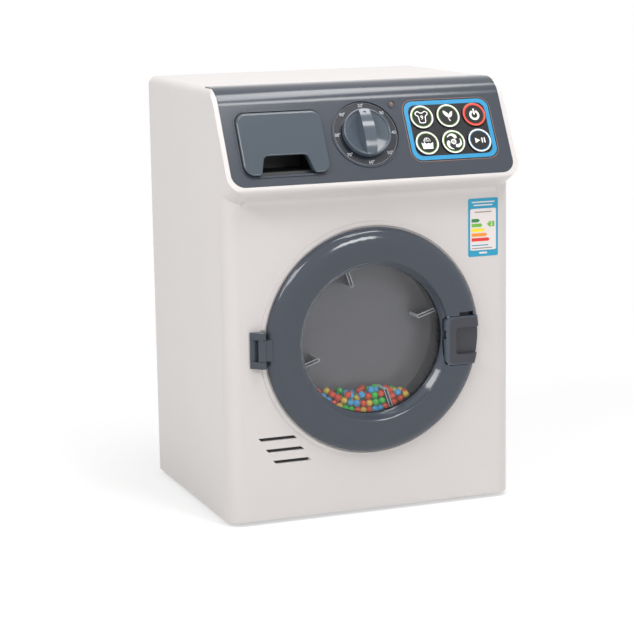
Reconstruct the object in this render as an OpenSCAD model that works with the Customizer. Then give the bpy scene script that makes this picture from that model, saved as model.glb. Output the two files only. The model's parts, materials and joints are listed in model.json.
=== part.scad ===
// Toy washing machine: moulded cabinet, leaning console, bead drum behind a hinged round door.
// Millimetres. X runs to the right, Y to the back and Z up; the origin is under the middle of the machine.

/* [Cabinet] */
// Width over the side walls
body_w = 206; // [200:1:216]
// Depth from the front face to the back
body_d = 160; // [150:1:190]
// Height from the floor to the top deck
body_h = 289; // [286:1:300]
// Radius of the upright corners
corner_r = 10; // [8:0.5:12]
// Radius along the side edges of the top deck
deck_r = 6; // [4:0.5:8]
// Wall of the cabinet moulding
wall = 2.2; // [1.8:0.1:2.6]
// Height of the rubber feet
foot_h = 3; // [2:0.5:5]
// Radius of a rubber foot
foot_r = 9; // [7:0.5:12]
// Distance of a foot's centre from the outer walls
foot_inset = 18; // [15:1:25]
// Thickness of the rear cover
rear_t = 2.5; // [2:0.1:3]

/* [Console] */
// Lean of the console from upright, in degrees
con_lean = 28; // [25:1:31]
// How far the console's lower edge stands ahead of the front face
con_reach = 13; // [11:0.5:15]
// Length of the flat part of the console up its slope
con_run = 57; // [56:0.5:60]
// Radius of the roll-over from the console to the top deck
roll_r = 21; // [19:0.5:23]
// Height of the white lip under the console
lip_h = 4; // [3:0.5:6]
// Rounding along the nose of the lip
nose_r = 3; // [2:0.25:3.5]
// Width of the white border beside the console
cheek_w = 3.2; // [2.6:0.1:4]
// Thickness of the console moulding
panel_t = 2.3; // [2:0.1:2.8]
// Depth of the console along the top deck, behind the roll-over
deck_run = 8; // [5:0.5:14]
// Lower corner radius of the console moulding
con_r = 9; // [7:0.5:12]
// Width of the ledge that carries the console moulding
ledge_w = 5; // [4:0.5:6]

/* [Detergent drawer] */
// Distance of the drawer's opening from the console's left edge
drawer_margin = 8.6; // [8:0.1:9.5]
// Distance between the drawer's opening and the dial plate
drawer_gap = 6.6; // [5:0.2:8]
// Lower edge of the drawer's opening, up the console's slope
drawer_v0 = 7.5; // [7:0.25:9]
// Upper edge of the drawer's opening, up the console's slope
drawer_v1 = 52; // [50:0.5:54]
// Corner radius of the drawer's face
drawer_r = 7; // [5:0.5:9]
// How far the drawer's face stands proud of the console
drawer_proud = 3; // [2:0.25:4]
// Length of the drawer's tray behind its face
tray_l = 56; // [50:1:64]
// Wall of the drawer's tray
tray_wall = 1.5; // [1.2:0.1:2]
// Height of the finger notch in the drawer's face
notch_h = 12; // [10:0.5:13]

/* [Programme dial] */
// Distance of the dial's centre from the machine's middle
dial_x = -2; // [-4:0.5:2]
// Height of the dial's centre up the console's slope
dial_v = 33; // [32:0.5:34]
// Radius of the printed dial plate
dial_r = 22.6; // [21:0.2:23.4]
// Radius of the knob
knob_r = 16.6; // [16:0.2:18]
// Height of the knob's rim above the console
knob_rim = 4.4; // [4:0.2:6]
// Height of the knob's grip above its rim
knob_grip = 3.6; // [3:0.2:5]
// Radius of the knob's shaft
knob_shaft_r = 3; // [2.5:0.1:3.5]

/* [Keys] */
// Distance of the black fascia from the console's right edge
keys_margin = 9.3; // [8.6:0.1:10]
// Distance between the black fascia and the dial plate
keys_gap = 7.1; // [6.5:0.1:8]
// Middle of the key block up the console's slope
keys_v = 33; // [32.5:0.1:34]
// Space between two keys across the console
key_gap_x = 1.8; // [1.6:0.1:2.4]
// Space between two keys up the console
key_gap_v = 1.4; // [1.2:0.1:2]
// Black border beside the keys
key_edge_x = 3.5; // [3.2:0.1:4]
// Black border over and under the keys
key_edge_v = 3.6; // [3.2:0.1:4]
// How far a key cap stands above its black fascia
key_proud = 0.9; // [0.6:0.1:1.4]
// Travel of a key
key_travel = 1.2; // [0.8:0.1:1.4]
// Corner radius of the fascia
fascia_r = 7.5; // [6:0.5:9]
// Thickness of the fascia
fascia_t = 1.4; // [1.2:0.1:1.6]

/* [Door] */
// Height of the door's centre, as a share of the front face
door_share = 0.5444; // [0.54:0.001:0.56]
// Outer radius of the door ring
door_r = 76; // [74:0.5:77]
// How far the ring's crown stands ahead of the front face
door_proud = 8; // [7.6:0.1:9]
// Radius of the clear opening in the door ring
port_r = 50; // [49:0.25:50.5]
// Wall of the door ring moulding
ring_wall = 2; // [1.6:0.1:2.2]
// Radius of the opening in the front face behind the door
well_r = 62; // [61.5:0.1:63]
// Rise of the window's dome
window_dome = 1.4; // [0.8:0.1:2]
// Thickness of the window
window_t = 1.5; // [1.2:0.1:1.8]

/* [Door handle] */
// Top of the handle, above the door's centre
handle_top = 12; // [11:0.5:13]
// Bottom of the handle, below the door's centre
handle_low = 21; // [20:0.5:22]
// Radius of the handle's pin
handle_pin_r = 1; // [0.8:0.05:1.1]

/* [Hinge] */
// Distance of the hinge pin from the door ring
hinge_out = 3.6; // [3.2:0.1:4.4]
// Height of the hinge pin ahead of the front face
hinge_h = 4.8; // [4.6:0.1:5.2]
// Radius of the hinge knuckles
knuckle_r = 2.8; // [2.5:0.1:3]
// Radius of the hinge pin
hinge_pin_r = 1.2; // [1:0.05:1.4]
// Length of the door's knuckle
knuckle_l = 14; // [12:1:16]

/* [Bead drum] */
// Outer radius of the drum
drum_r = 54; // [53:0.5:54.5]
// Depth of the bead chamber
chamber_d = 16.5; // [15.5:0.5:19]
// Number of notches round the drum's wall
notch_n = 48; // [40:2:52]
// Radius of a bead
bead_r = 2.4; // [2.2:0.05:2.4]
// Height of the bead pile's surface below the drum's centre
bead_level = 37.5; // [37:0.5:42]
// Radius of the drum's shaft
shaft_r = 2; // [1.8:0.1:2.4]

/* [Drive] */
// Module of the gears
gear_m = 1; // [0.9:0.05:1.05]
// Teeth of the drum's gear
drum_teeth = 40; // [36:1:42]
// Teeth of the idler's large gear
idler_teeth = 36; // [32:1:38]
// Teeth of the small pinions
pinion_teeth = 12; // [12:1:14]
// Backlash of the gears
backlash = 0.3; // [0.25:0.05:0.4]
// Radius on which the drive's bosses stand
drive_boss_r = 69; // [68.5:0.5:71]

/* [Power] */
// Radius of a battery cell
cell_r = 7.1; // [7:0.05:7.25]
// Length of a battery cell without its nub
cell_l = 49; // [48:0.5:50]
// Height of the battery box above the base
battery_z = 30; // [28:1:50]
// Radius of the speaker
speaker_r = 21; // [19:0.5:22]

/* [Hidden] */

$fn = 64;
gap = 0.3;               // air between curved faces of pieces that move past each other
seat = 0.05;             // air between flat faces of pieces that lie on each other
running = 0.05;          // radial clearance of a shaft in its bore
eps = 0.5;               // overshoot of a cutting shape

lip_reach = con_reach + lip_h * sin(con_lean);
nose_reach = con_reach + (lip_h - nose_r) * sin(con_lean) + nose_r * (1 - cos(con_lean));
front_y = -body_d / 2 + nose_reach / 2;     // the front face
back_y = front_y + body_d;                  // the back of the rear cover
base_z = foot_h;                            // underside of the cabinet moulding
con_y = front_y - con_reach;                // lower edge of the console
roll_rise = roll_r * (1 - sin(con_lean));
con_z = body_h - roll_rise - con_run * cos(con_lean);
roll_c = on_slope(con_run, -roll_r);        // centre of the roll-over, as y and z
con_back = roll_c[0] + deck_run;            // rear edge of the console moulding
pod_depth = (lip_reach + wall + 1) / cos(con_lean);
pod_r = con_r + cheek_w;
lip_z = on_slope(-lip_h, -lip_reach / cos(con_lean))[1];    // where the lip meets the front face
door_z = base_z + (lip_z - base_z) * door_share;
hinge_x = door_r + hinge_out;
lip_r = port_r + 3.5;                       // inner edge of the door ring's crown
handle_x = lip_r + 0.1;                     // the handle's pin, from the door's centre

// The dial stands in the middle, and the drawer and the keys fill the console beside it
con_half = body_w / 2 - cheek_w;
drawer_w = con_half - drawer_margin + dial_x - dial_r - drawer_gap;
drawer_x = con_half - drawer_margin - drawer_w / 2;
fascia_w = con_half - keys_margin - dial_x - dial_r - keys_gap;
keys_x = con_half - keys_margin - fascia_w / 2;
key_r = (fascia_w - 2 * key_edge_x - 2 * key_gap_x) / 6;
key_pitch_x = 2 * key_r + key_gap_x;
key_pitch_v = 2 * key_r + key_gap_v;
fascia_h = 4 * key_r + key_gap_v + 2 * key_edge_v;

white = [0.88, 0.86, 0.85];
grey = [0.35, 0.38, 0.42];
steel_grey = [0.46, 0.49, 0.54];
dark = [0.24, 0.24, 0.26];
black = [0.16, 0.17, 0.19];
steel = [0.75, 0.76, 0.78];
brass = [0.78, 0.62, 0.32];
clear = [0.8, 0.85, 0.9, 0.35];

screw_r = 1.4;           // shank of the self-tapping screws
screw_bore_r = screw_r + running;
screw_head_r = 2.8;
screw_head_h = 1.6;
boss_r = 3.6;            // outside of a screw boss

// y and z of the point v up the console's slope and n out of its face
function on_slope(v, n) = [
    con_y + v * sin(con_lean) - n * cos(con_lean),
    con_z + v * cos(con_lean) + n * sin(con_lean),
];

// Round turn from the console to the deck, d inside the outer face
function roll_arc(d) = [
    for (i = [0:12])
        let (a = con_lean + (90 - con_lean) * i / 12)
            [roll_c[0] - (roll_r - d) * cos(a), roll_c[1] + (roll_r - d) * sin(a)]
];

// Height at which the console's face, d below its surface, passes y
function slope_z(y, d) =
    con_z - d * sin(con_lean) + (y - con_y - d * cos(con_lean)) / tan(con_lean);

// Side outline d inside the cabinet, from a front line to a back line
function side_outline(d, front, back) = concat(
    [[front, base_z + d], [front, slope_z(front, d)]],
    roll_arc(d),
    [[back, body_h - d], [back, base_z + d]]
);

// ---- frames and shared shapes ----

module at_console() translate([0, con_y, con_z]) rotate([90 - con_lean, 0, 0]) children();
module at_dial() at_console() translate([dial_x, dial_v, 0]) children();
module at_door() translate([0, front_y, door_z]) rotate([90, 0, 0]) children();

// Extrudes a profile of y and z along x, centred
module along_x(w) rotate([90, 0, 90]) linear_extrude(w, center = true) children();

module rounded_rect(w, h, r) {
    square([w - 2 * r, h], center = true);
    square([w, h - 2 * r], center = true);
    for (x = [-1, 1], y = [-1, 1])
        translate([x * (w / 2 - r), y * (h / 2 - r)]) circle(r);
}

// Upright strip whose two lower corners are round
module round_foot_strip(w, low, high, r) {
    translate([-w / 2, low + r]) square([w, high - low - r]);
    translate([-w / 2 + r, low]) square([w - 2 * r, high - low]);
    for (x = [-1, 1]) translate([x * (w / 2 - r), low + r]) circle(r);
}

module tube(r_out, r_in, h) {
    difference() {
        cylinder(r = r_out, h = h);
        translate([0, 0, -eps]) cylinder(r = r_in, h = h + 2 * eps);
    }
}

// Pan-head screw whose head stands on z = 0 and whose shank points down
module pan_screw(l) {
    translate([0, 0, -l]) cylinder(r = screw_r, h = l + 0.1);
    difference() {
        cylinder(r1 = screw_head_r, r2 = screw_head_r - 0.6, h = screw_head_h);
        for (a = [0, 90]) rotate(a)
            translate([-1.5, -0.35, screw_head_h - 0.8]) cube([3, 0.7, 1]);
    }
}

// ---- cabinet ----

// Plan of the cabinet: round corners in front, nearly square ones at the back
module cabinet_plan(w, front, back, r) {
    mid = front + r + 2;
    translate([0, front + body_d / 4]) rounded_rect(w, body_d / 2, r);
    translate([-w / 2, mid]) square([w, back - mid]);
}

module cabinet_block(d, back) {
    w = body_w - 2 * d;
    front = front_y + d;
    intersection() {
        linear_extrude(body_h + 10) cabinet_plan(w, front, back, corner_r - d);
        along_x(w) polygon(side_outline(d, front, back));
        translate([0, 0, body_h - d]) rotate([-90, 0, 0])
            linear_extrude(3 * body_d, center = true)
                round_foot_strip(w, 0, body_h, deck_r - d);
    }
}

// Forward block of the console with its white lip, rounded along the nose
module console_pod() {
    lip = [
        for (a = [0:15:90])
            [-lip_h + nose_r * (1 - cos(a)), -nose_r * (1 - sin(a))]
    ];
    at_console() intersection() {
        translate([0, 0, -pod_depth]) linear_extrude(pod_depth)
            round_foot_strip(body_w, -lip_h, con_run, pod_r);
        along_x(body_w)
            polygon(concat([[-lip_h, -pod_depth]], lip, [[con_run, 0], [con_run, -pod_depth]]));
    }
}

// Hollow fillet where the lip's underside runs into the front face
cove_r = 7;
cove_out = 3.4;          // how far the fillet stands ahead of the front face
cove_plan_r = 24;        // rounding that lets it fade out towards the sides
module lip_cove() {
    half = (90 + con_lean) / 2;
    n_in = -lip_reach / cos(con_lean);
    corner = on_slope(-lip_h, n_in);
    reach = cove_r / tan(half);
    centre = [corner[0] - cove_r, corner[1] - reach];
    arc = [
        for (i = [0:8])
            let (a = (90 - con_lean) * i / 8) [centre[0] + cove_r * cos(a), centre[1] + cove_r * sin(a)]
    ];
    intersection() {
        along_x(body_w) polygon(concat(
            [[front_y + wall / 2, centre[1]]], arc,
            [on_slope(-lip_h + 1, n_in + reach), [front_y + wall / 2, corner[1] + 1]]
        ));
        translate([0, front_y - cove_out + body_d / 2, 0]) linear_extrude(body_h)
            rounded_rect(body_w, body_d, cove_plan_r);
    }
}

// Space over the console moulding, m inside its outline
module console_zone(m) {
    intersection() {
        at_console() translate([0, 0, -4 * pod_depth]) linear_extrude(8 * pod_depth)
            round_foot_strip(body_w - 2 * (cheek_w + m), m, 2 * con_run, con_r - m / 2);
        translate([-body_w, con_back - m - 2 * body_d, 0]) cube([2 * body_w, 2 * body_d, 2 * body_h]);
    }
}

// Everything under the console's surface, d below it
module under_console(d) {
    front = con_y - 2 * pod_depth;
    along_x(2 * body_w) polygon(concat(
        [[front, slope_z(front, d)]], roll_arc(d), [[back_y, body_h - d], [back_y, -2 * body_h]],
        [[front, -2 * body_h]]
    ));
}

module slots() {
    for (k = [0:2]) translate([slot_x + slot_step * k, slot_y - slot_gap * k])
        polygon([
            [-slot_l, slot_w / 2], [0, slot_w / 2],
            [slot_w, -slot_w / 2], [slot_w - slot_l, -slot_w / 2],
        ]);
}
slot_x = -57;            // right end of the upper slot, from the door's centre
slot_y = -61;            // height of the upper slot, from the door's centre
slot_step = 5;
slot_gap = 8;
slot_l = 25;
slot_w = 2.3;

rim_r = door_r + 1.2;    // inside of the raised rim round the door
rim_w = 2.6;
well_depth = 7;
well_wall = 1.8;
claw_x0 = well_r + 1.6;
claw_x1 = claw_x0 + 2.6;
claw_y0 = -9;
claw_y1 = 1;
strike_x1 = claw_x0 + 7.9;
module claw_window(m) translate([claw_x0 - gap - m, claw_y0 - 1 - m])
    square([strike_x1 - claw_x0 + gap + 2 * m, claw_y1 - claw_y0 + 2 + 2 * m]);

module door_well() {
    at_door() translate([0, 0, -well_depth]) {
        tube(well_r + well_wall, well_r, well_depth - 0.2);
        tube(well_r + 0.5, drum_r + 2, 1.8);
    }
}

drive_h = 32;            // distance of the drive plate behind the front face
drive_angles = [90, 210, 330];
rear_boss_z = [base_z + 20, (base_z + body_h) / 2, body_h - 26];
rear_boss_l = 24;
rear_boss_x = body_w / 2 - wall - boss_r - 1;
module rear_spots() for (x = [-1, 1], z = rear_boss_z) translate([x * rear_boss_x, 0, z]) children();

module cabinet_bosses() {
    at_door() for (a = drive_angles) rotate(a) translate([drive_boss_r, 0, -drive_h])
        cylinder(r = boss_r, h = drive_h - wall / 2);
    rear_spots() translate([0, back_y - rear_t - seat, 0]) rotate([90, 0, 0])
        cylinder(r = boss_r, h = rear_boss_l);
    for (x = [-1, 1], z = rear_boss_z)
        translate([
            x > 0 ? rear_boss_x : -body_w / 2 + wall / 2,
            back_y - rear_t - seat - rear_boss_l,
            z - 0.8,
        ])
            cube([body_w / 2 - wall / 2 - rear_boss_x, rear_boss_l - 3, 1.6]);
    // ring that holds the speaker behind its slots
    at_door() translate([speaker_x, speaker_y, -speaker_d + 1])
        tube(speaker_r + 2, speaker_r + 0.2, speaker_d - wall / 2 - 1);
}
speaker_x = -66;
speaker_y = -69;
speaker_d = 9;

module cabinet_shell() color(white) difference() {
    union() {
        difference() {
            union() {
                cabinet_block(0, back_y);
                console_pod();
                lip_cove();
                at_door() translate([0, 0, -wall / 2]) tube(rim_r + rim_w, rim_r, wall / 2 + 0.9);
            }
            cabinet_block(wall, back_y + 10);
            difference() {
                console_zone(0);
                under_console(panel_t + seat);
            }
            intersection() {
                console_zone(ledge_w);
                at_console() translate([0, 0, -pod_depth - 1])
                    translate([-body_w / 2, 0]) cube([body_w, 2 * con_run, pod_depth + 1]);
            }
            intersection() {
                console_zone(ledge_w);
                along_x(body_w) polygon([
                    on_slope(con_run - 2, 1), on_slope(con_run - 2, -pod_depth),
                    [con_back, body_h - pod_depth], [con_back, body_h + 1],
                ]);
            }
            at_door() translate([0, 0, -2 * wall]) cylinder(r = well_r, h = 4 * wall);
            at_door() translate([0, 0, -2 * wall]) linear_extrude(4 * wall) slots();
            at_door() translate([0, 0, -2 * wall]) linear_extrude(4 * wall) claw_window(0.5);
            at_door() translate([-hinge_x - 8, -hinge_half - 1, 0])
                cube([14, 2 * hinge_half + 2, 4]);
        }
        door_well();
        cabinet_bosses();
    }
    at_door() linear_extrude(2 * well_depth, center = true) claw_window(0.5);
    at_door() for (a = drive_angles) rotate(a) translate([drive_boss_r, 0, -drive_h - eps])
        cylinder(r = screw_bore_r, h = 14);
    rear_spots() translate([0, back_y, 0]) rotate([90, 0, 0]) cylinder(r = screw_bore_r, h = 16);
    at_door() for (y = [-1, 1]) translate([-hinge_x - 4, y * (hinge_half - 3), -5])
        cylinder(r = hinge_peg_r + running, h = 6);
}

cover_w = body_w - 2 * wall - 2 * seat - 0.3;
cover_h = body_h - base_z - 2 * wall - 2 * seat - 0.3;
box_w = 6 * cell_r + 8;
box_h = cell_l + 9;
box_d = 2 * cell_r + 4.2;
box_wall = 1.5;
box_c = battery_z + box_h / 2;
lid_w = box_w + 6;
lid_h = box_h + 12;
lid_t = 1.6;
lid_screw_z = box_c + box_h / 2 + 2.6;
module at_rear(z, h) translate([0, h, z]) rotate([-90, 0, 0]) children();

// Rear cover with its battery compartment
module rear_cover() color(white) difference() {
    union() {
        at_rear((base_z + body_h) / 2, back_y - rear_t)
            linear_extrude(rear_t) rounded_rect(cover_w, cover_h, deck_r - wall + 0.4);
        // stiffening frame on the inside, clear of the screw bosses
        at_rear((base_z + body_h) / 2, back_y - rear_t - 3) linear_extrude(4) difference() {
            rounded_rect(cover_w - 26, cover_h - 14, 6);
            rounded_rect(cover_w - 30, cover_h - 18, 4);
        }
        translate([-box_w / 2, back_y - rear_t - box_d, box_c - box_h / 2]) cube([box_w, box_d + 1, box_h]);
        at_rear(lid_screw_z, back_y - rear_t - 8) cylinder(r = boss_r, h = 9);
    }
    at_rear(box_c + 1, back_y - lid_t - 0.1) linear_extrude(rear_t)
        rounded_rect(lid_w + 0.6, lid_h + 0.6, 4);
    translate([-box_w / 2 + box_wall, back_y - rear_t - box_d + box_wall, box_c - box_h / 2 + box_wall])
        cube([box_w - 2 * box_wall, box_d + rear_t, box_h - 2 * box_wall]);
    rear_spots() translate([0, back_y - rear_t - eps, 0]) rotate([-90, 0, 0])
        cylinder(r = screw_r + 0.2, h = rear_t + 2 * eps);
    rear_spots() translate([0, back_y - screw_head_h - 0.1, 0]) rotate([-90, 0, 0])
        cylinder(r = screw_head_r + 0.3, h = rear_t);
    at_rear(lid_screw_z, back_y - lid_t - lid_boss - 0.1) cylinder(r = 4.3, h = 6);
    at_rear(lid_screw_z, back_y - rear_t - 7) cylinder(r = screw_bore_r, h = 9);
}
lid_boss = 0.7;          // how far the lid is thicker round its screw

module rubber_feet() color(dark)
    for (x = [-1, 1], y = [front_y + foot_inset, back_y - foot_inset])
        translate([x * (body_w / 2 - foot_inset), y, 0]) {
            cylinder(r1 = foot_r - 0.8, r2 = foot_r, h = 1);
            translate([0, 0, 1]) cylinder(r = foot_r, h = foot_h - 1 - seat);
        }

module case_screws() color(steel) rear_spots()
    translate([0, back_y - screw_head_h - 0.05, 0]) rotate([-90, 0, 0]) pan_screw(13);

// ---- console ----

dial_step = 1.4;         // depth of the dished seat of the dial plate
post_r = 2.6;
post_x0 = dial_x + dial_r - 0.6;
post_x1 = keys_x + fascia_w / 2;
post_v0 = ledge_w + 5;
post_v1 = con_run - 1;
post_spots = [
    [post_x0, post_v0], [post_x1, post_v0], [post_x1, post_v1], [keys_x - fascia_w / 2 + 2.8, post_v1],
];
board_n = -13;           // front of the control board behind the console's face
module console_panel() color(grey) difference() {
    union() {
        difference() {
            intersection() {
                difference() {
                    under_console(0);
                    under_console(panel_t);
                }
                console_zone(0.12);
            }
            drawer_prism(0);
            at_dial() translate([0, 0, -dial_step]) cylinder(r = dial_r + 0.2, h = 5);
            at_console() translate([keys_x, keys_v, -fascia_t - seat]) linear_extrude(5)
                rounded_rect(fascia_w + 0.3, fascia_h + 0.3, fascia_r);
            at_keys() cylinder(r = key_r + gap, h = 12, center = true);
        }
        // raised beads round the dial, the drawer and the lamp
        at_dial() translate([0, 0, -0.5]) tube(dial_r + 1.3, dial_r + 0.2, 1.2);
        at_console() translate([led_x, led_v, -0.5]) tube(2.9, 2.1, 1);
        intersection() {
            difference() {
                drawer_prism(1.2);
                drawer_prism(0);
            }
            at_console() translate([-body_w / 2, 0, -1]) cube([body_w, con_run, 1.5]);
        }
        at_console() for (p = post_spots) translate([p[0], p[1], board_n + seat])
            cylinder(r = post_r, h = -board_n - panel_t / 2);
        at_dial() for (y = [-1, 1]) translate([click_x, y * 11, -panel_t - 3])
            cylinder(r = 1.6, h = 3.3);
    }
    at_dial() cylinder(r = knob_shaft_r + running, h = 20, center = true);
    at_console() translate([led_x, led_v, 0]) cylinder(r = 2, h = 12, center = true);
    at_console() for (p = post_spots) translate([p[0], p[1], board_n - eps])
        cylinder(r = screw_bore_r, h = 9);
}
led_x = dial_x + dial_r;
led_v = con_run - 4;

// The drawer slides level, so its opening is a prism along y
drawer_z0 = on_slope(drawer_v0, 0)[1];
drawer_z1 = on_slope(drawer_v1, 0)[1];
module drawer_prism(grow) translate([-drawer_x, 0, (drawer_z0 + drawer_z1) / 2]) rotate([90, 0, 0])
    linear_extrude(3 * body_d, center = true)
        rounded_rect(drawer_w + 2 * grow, drawer_z1 - drawer_z0 + 2 * grow, drawer_r + grow);

face_t = 4;              // depth of the drawer's face behind the console's surface
module drawer_face_slab(n0, n1) at_console() translate([-body_w / 2, -20, n0])
    cube([body_w, con_run + 40, n1 - n0]);

tray_gap = 0.4;
tray_w = drawer_w - 9;
tray_z0 = drawer_z0 + notch_h + 2;
tray_z1 = drawer_z1 - 5;
tray_y1 = on_slope(drawer_v0 + 15, -face_t)[0] + tray_l;

// Finger notch: a trapezoid with round upper corners, open at the bottom
module notch_outline(grow) {
    foot = drawer_z0 - 10;
    top = drawer_z0 + notch_h + grow;
    half_foot = drawer_w / 2 - 8.5 + grow;
    half_top = drawer_w / 2 - 15.5 + grow;
    r = 3.5;
    lean = atan2(top - foot, half_foot - half_top);
    cx = half_top - r * tan(lean / 2);
    right = [for (i = [0:6]) let (a = 90 - lean + lean * i / 6) [cx + r * cos(a), top - r + r * sin(a)]];
    left = [for (i = [0:6]) let (a = 90 + lean * i / 6) [-cx + r * cos(a), top - r + r * sin(a)]];
    translate([-drawer_x, 0]) polygon(concat([[-half_foot, foot], [half_foot, foot]], right, left));
}

module drawer_front() color(steel_grey) difference() {
    intersection() {
        drawer_prism(-0.45);
        drawer_face_slab(-face_t, drawer_proud);
    }
    rotate([90, 0, 0]) linear_extrude(3 * body_d, center = true) notch_outline(0);
}

module tray_prism(inset, low, y1)
    translate([-drawer_x - tray_w / 2 + inset, -body_d, low])
        cube([tray_w - 2 * inset, body_d + y1, tray_z1 + (inset > 0 ? 5 : 0) - low]);

module drawer_tray() color(white) difference() {
    tray_prism(0, tray_z0, tray_y1);
    at_console() translate([-body_w / 2, -body_h, -face_t - seat]) cube([body_w, 3 * body_h, body_h]);
    for (s = [-1, 1]) difference() {
        intersection() {
            tray_prism(tray_wall, tray_z0 + tray_wall, tray_y1 - tray_wall);
            translate([-drawer_x + (s > 0 ? tray_wall / 2 : -tray_w), -body_d, 0])
                cube([tray_w - tray_wall / 2, 2 * body_d, body_h]);
        }
        at_console() translate([-body_w / 2, -body_h, -face_t - tray_wall])
            cube([body_w, 3 * body_h, body_h]);
    }
}

// Fixed channel under and beside the tray, with the finger pocket below it
module drawer_housing() color(dark) {
    half = tray_w / 2 + tray_gap;
    rail = 1.8;
    y1 = tray_y1 + 1;
    floor_z = tray_z0 - gap;
    pocket_w = drawer_w - 20;
    pocket_y = front_y + 22;
    frame_w = 3;
    difference() {
        intersection() {
            union() {
                translate([-drawer_x - half - rail, -body_d, floor_z - rail])
                    cube([2 * (half + rail), body_d + y1 + rail, tray_z1 - 6 - tray_z0 + rail]);
                translate([-drawer_x - pocket_w / 2 - rail, -body_d, drawer_z0 - 0.5])
                    cube([pocket_w + 2 * rail, body_d + pocket_y + rail, floor_z - drawer_z0]);
                intersection() {
                    drawer_prism(frame_w);
                    drawer_face_slab(-face_t - gap - rail, 1);
                }
            }
            under_console(panel_t + seat);
        }
        intersection() {
            drawer_prism(gap);
            drawer_face_slab(-face_t - gap, 10);
        }
        translate([-drawer_x - half, -2 * body_d, floor_z]) cube([2 * half, 2 * body_d + y1, 60]);
        translate([-drawer_x - pocket_w / 2, -2 * body_d, drawer_z0 + rail - 0.5])
            cube([pocket_w, 2 * body_d + pocket_y, floor_z - drawer_z0 - 2 * rail + 0.5]);
    }
}

module dial_plate() color(dark) at_dial() translate([0, 0, -dial_step + seat]) difference() {
    rotate_extrude() polygon([
        [0, 0], [dial_r, 0], [dial_r, 1.1], [dial_r - 0.5, 1.1], [dial_r - 0.8, 0.8], [0, 0.8],
    ]);
    cylinder(r = knob_shaft_r + 0.3, h = 10, center = true);
}

knob_base = -dial_step + seat + 0.8 + gap;   // underside of the knob above its plate
rim_round = 0.9;         // half the width of the knob's rolled rim
bowl_r = knob_r - 2 * rim_round;
bowl_d = 3.2;            // depth of the bowl inside the rim
lens_r = 92;             // curve of the grip's sides, seen from the front
lens_half = 3.9;         // half the grip's width at its top
lens_draft = 2.1;        // how much wider each side is at the foot
arch_r = 39;             // curve of the grip's top
module knob() color(steel_grey) at_dial() {
    top = knob_rim + knob_grip;
    difference() {
        union() {
            rotate_extrude() polygon(concat(
                [[0, knob_base], [knob_r - 0.5, knob_base], [knob_r, knob_base + 0.5]],
                [for (a = [0:15:180])
                    [knob_r - rim_round + rim_round * cos(a), knob_rim + rim_round * (sin(a) - 1)]],
                [for (t = [0.9:-0.1:0]) [bowl_r * t, knob_rim - rim_round - bowl_d * (1 - t * t)]]
            ));
            // arched grip with a lens-shaped plan, highest in the middle
            intersection() {
                intersection_for(s = [-1, 1]) translate([s * (lens_r - lens_half), 0, 0])
                    cylinder(r1 = lens_r + lens_draft, r2 = lens_r, h = top + 1);
                translate([0, 0, top - arch_r]) rotate([0, 90, 0])
                    cylinder(r = arch_r, h = 4 * lens_half + 4 * lens_draft, center = true);
                cylinder(r = knob_r - rim_round, h = top + 1);
            }
        }
        translate([0, knob_r - 3.4, top - 2.1]) sphere(r = 0.9);
    }
    translate([0, 0, -panel_t - 6]) difference() {
        cylinder(r = knob_shaft_r, h = panel_t + 6.5);
        translate([0, 0, -eps]) cylinder(r = screw_bore_r, h = 6);
    }
}

click_x = 12.5;
click_r = 9;
module click_wheel() color(white) at_dial() translate([0, 0, -panel_t - gap - 3]) difference() {
    cylinder(r = click_r, h = 3);
    for (i = [0:7]) rotate(i * 45) translate([click_r + 0.8, 0, -eps]) cylinder(r = 1.8, h = 4, $fn = 24);
    translate([0, 0, -eps]) cylinder(r = knob_shaft_r + seat, h = 4);
}

// Leaf spring whose nose rests at the rim of the click wheel
module click_spring() color(steel) at_dial() translate([click_x, 0, -panel_t - 3]) {
    nose = click_x - click_r - gap - 0.2;
    translate([-0.25, -13, -2.4]) cube([0.5, 26, 1.9]);
    translate([-0.25, -8, -1]) cube([0.5, 16, 3]);
    for (y = [-1, 1]) translate([-2.6, y * 11 - 2, -0.45]) cube([5.2, 4, 0.4]);
    for (y = [-1, 1]) translate([-0.25, y * 11 - 2, -2.4]) cube([0.5, 4, 2.3]);
    linear_extrude(2) polygon([[-nose, 0.5], [0, 1.6], [0, -1.6], [-nose, -0.5]]);
}

module knob_screw() color(steel) at_dial() translate([0, 0, -panel_t - 6 - seat])
    rotate([180, 0, 0]) pan_screw(5);

// ---- keys ----

module at_keys() at_console() for (i = [0:5]) translate(key_spot(i)) children();
function key_spot(i) = [
    keys_x + (i % 3 - 1) * key_pitch_x,
    keys_v + (i < 3 ? 0.5 : -0.5) * key_pitch_v,
    0,
];

module key_fascia() color(black) difference() {
    at_console() translate([keys_x, keys_v, -fascia_t]) linear_extrude(fascia_t)
        rounded_rect(fascia_w, fascia_h, fascia_r - 0.15);
    at_keys() cylinder(r = key_r + gap, h = 12, center = true);
}

ear_t = 1;
ear_n = -panel_t - 0.15 - ear_t;        // underside of a key's ears
stem_r = 3;
mat_t = 0.7;
stem_l = ear_n - board_n - mat_t - key_travel - seat;   // leaves the key its travel over the mat
module key_cap(i) color(black) at_console() translate(key_spot(i)) {
    rotate_extrude() polygon([
        [0, ear_n], [key_r, ear_n], [key_r, key_proud - 0.5], [key_r - 0.15, key_proud - 0.15],
        [key_r - 0.5, key_proud], [0, key_proud],
    ]);
    for (a = [45, 225]) rotate(a) translate([key_r + 0.3, 0, ear_n + ear_t / 2])
        cube([1.4, 4, ear_t], center = true);
    translate([0, 0, ear_n - stem_l]) cylinder(r = stem_r, h = stem_l + 0.2);
}
module key_wash() key_cap(0);
module key_leaf() key_cap(1);
module key_power() key_cap(2);
module key_soak() key_cap(3);
module key_spin() key_cap(4);
module key_start() key_cap(5);

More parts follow.
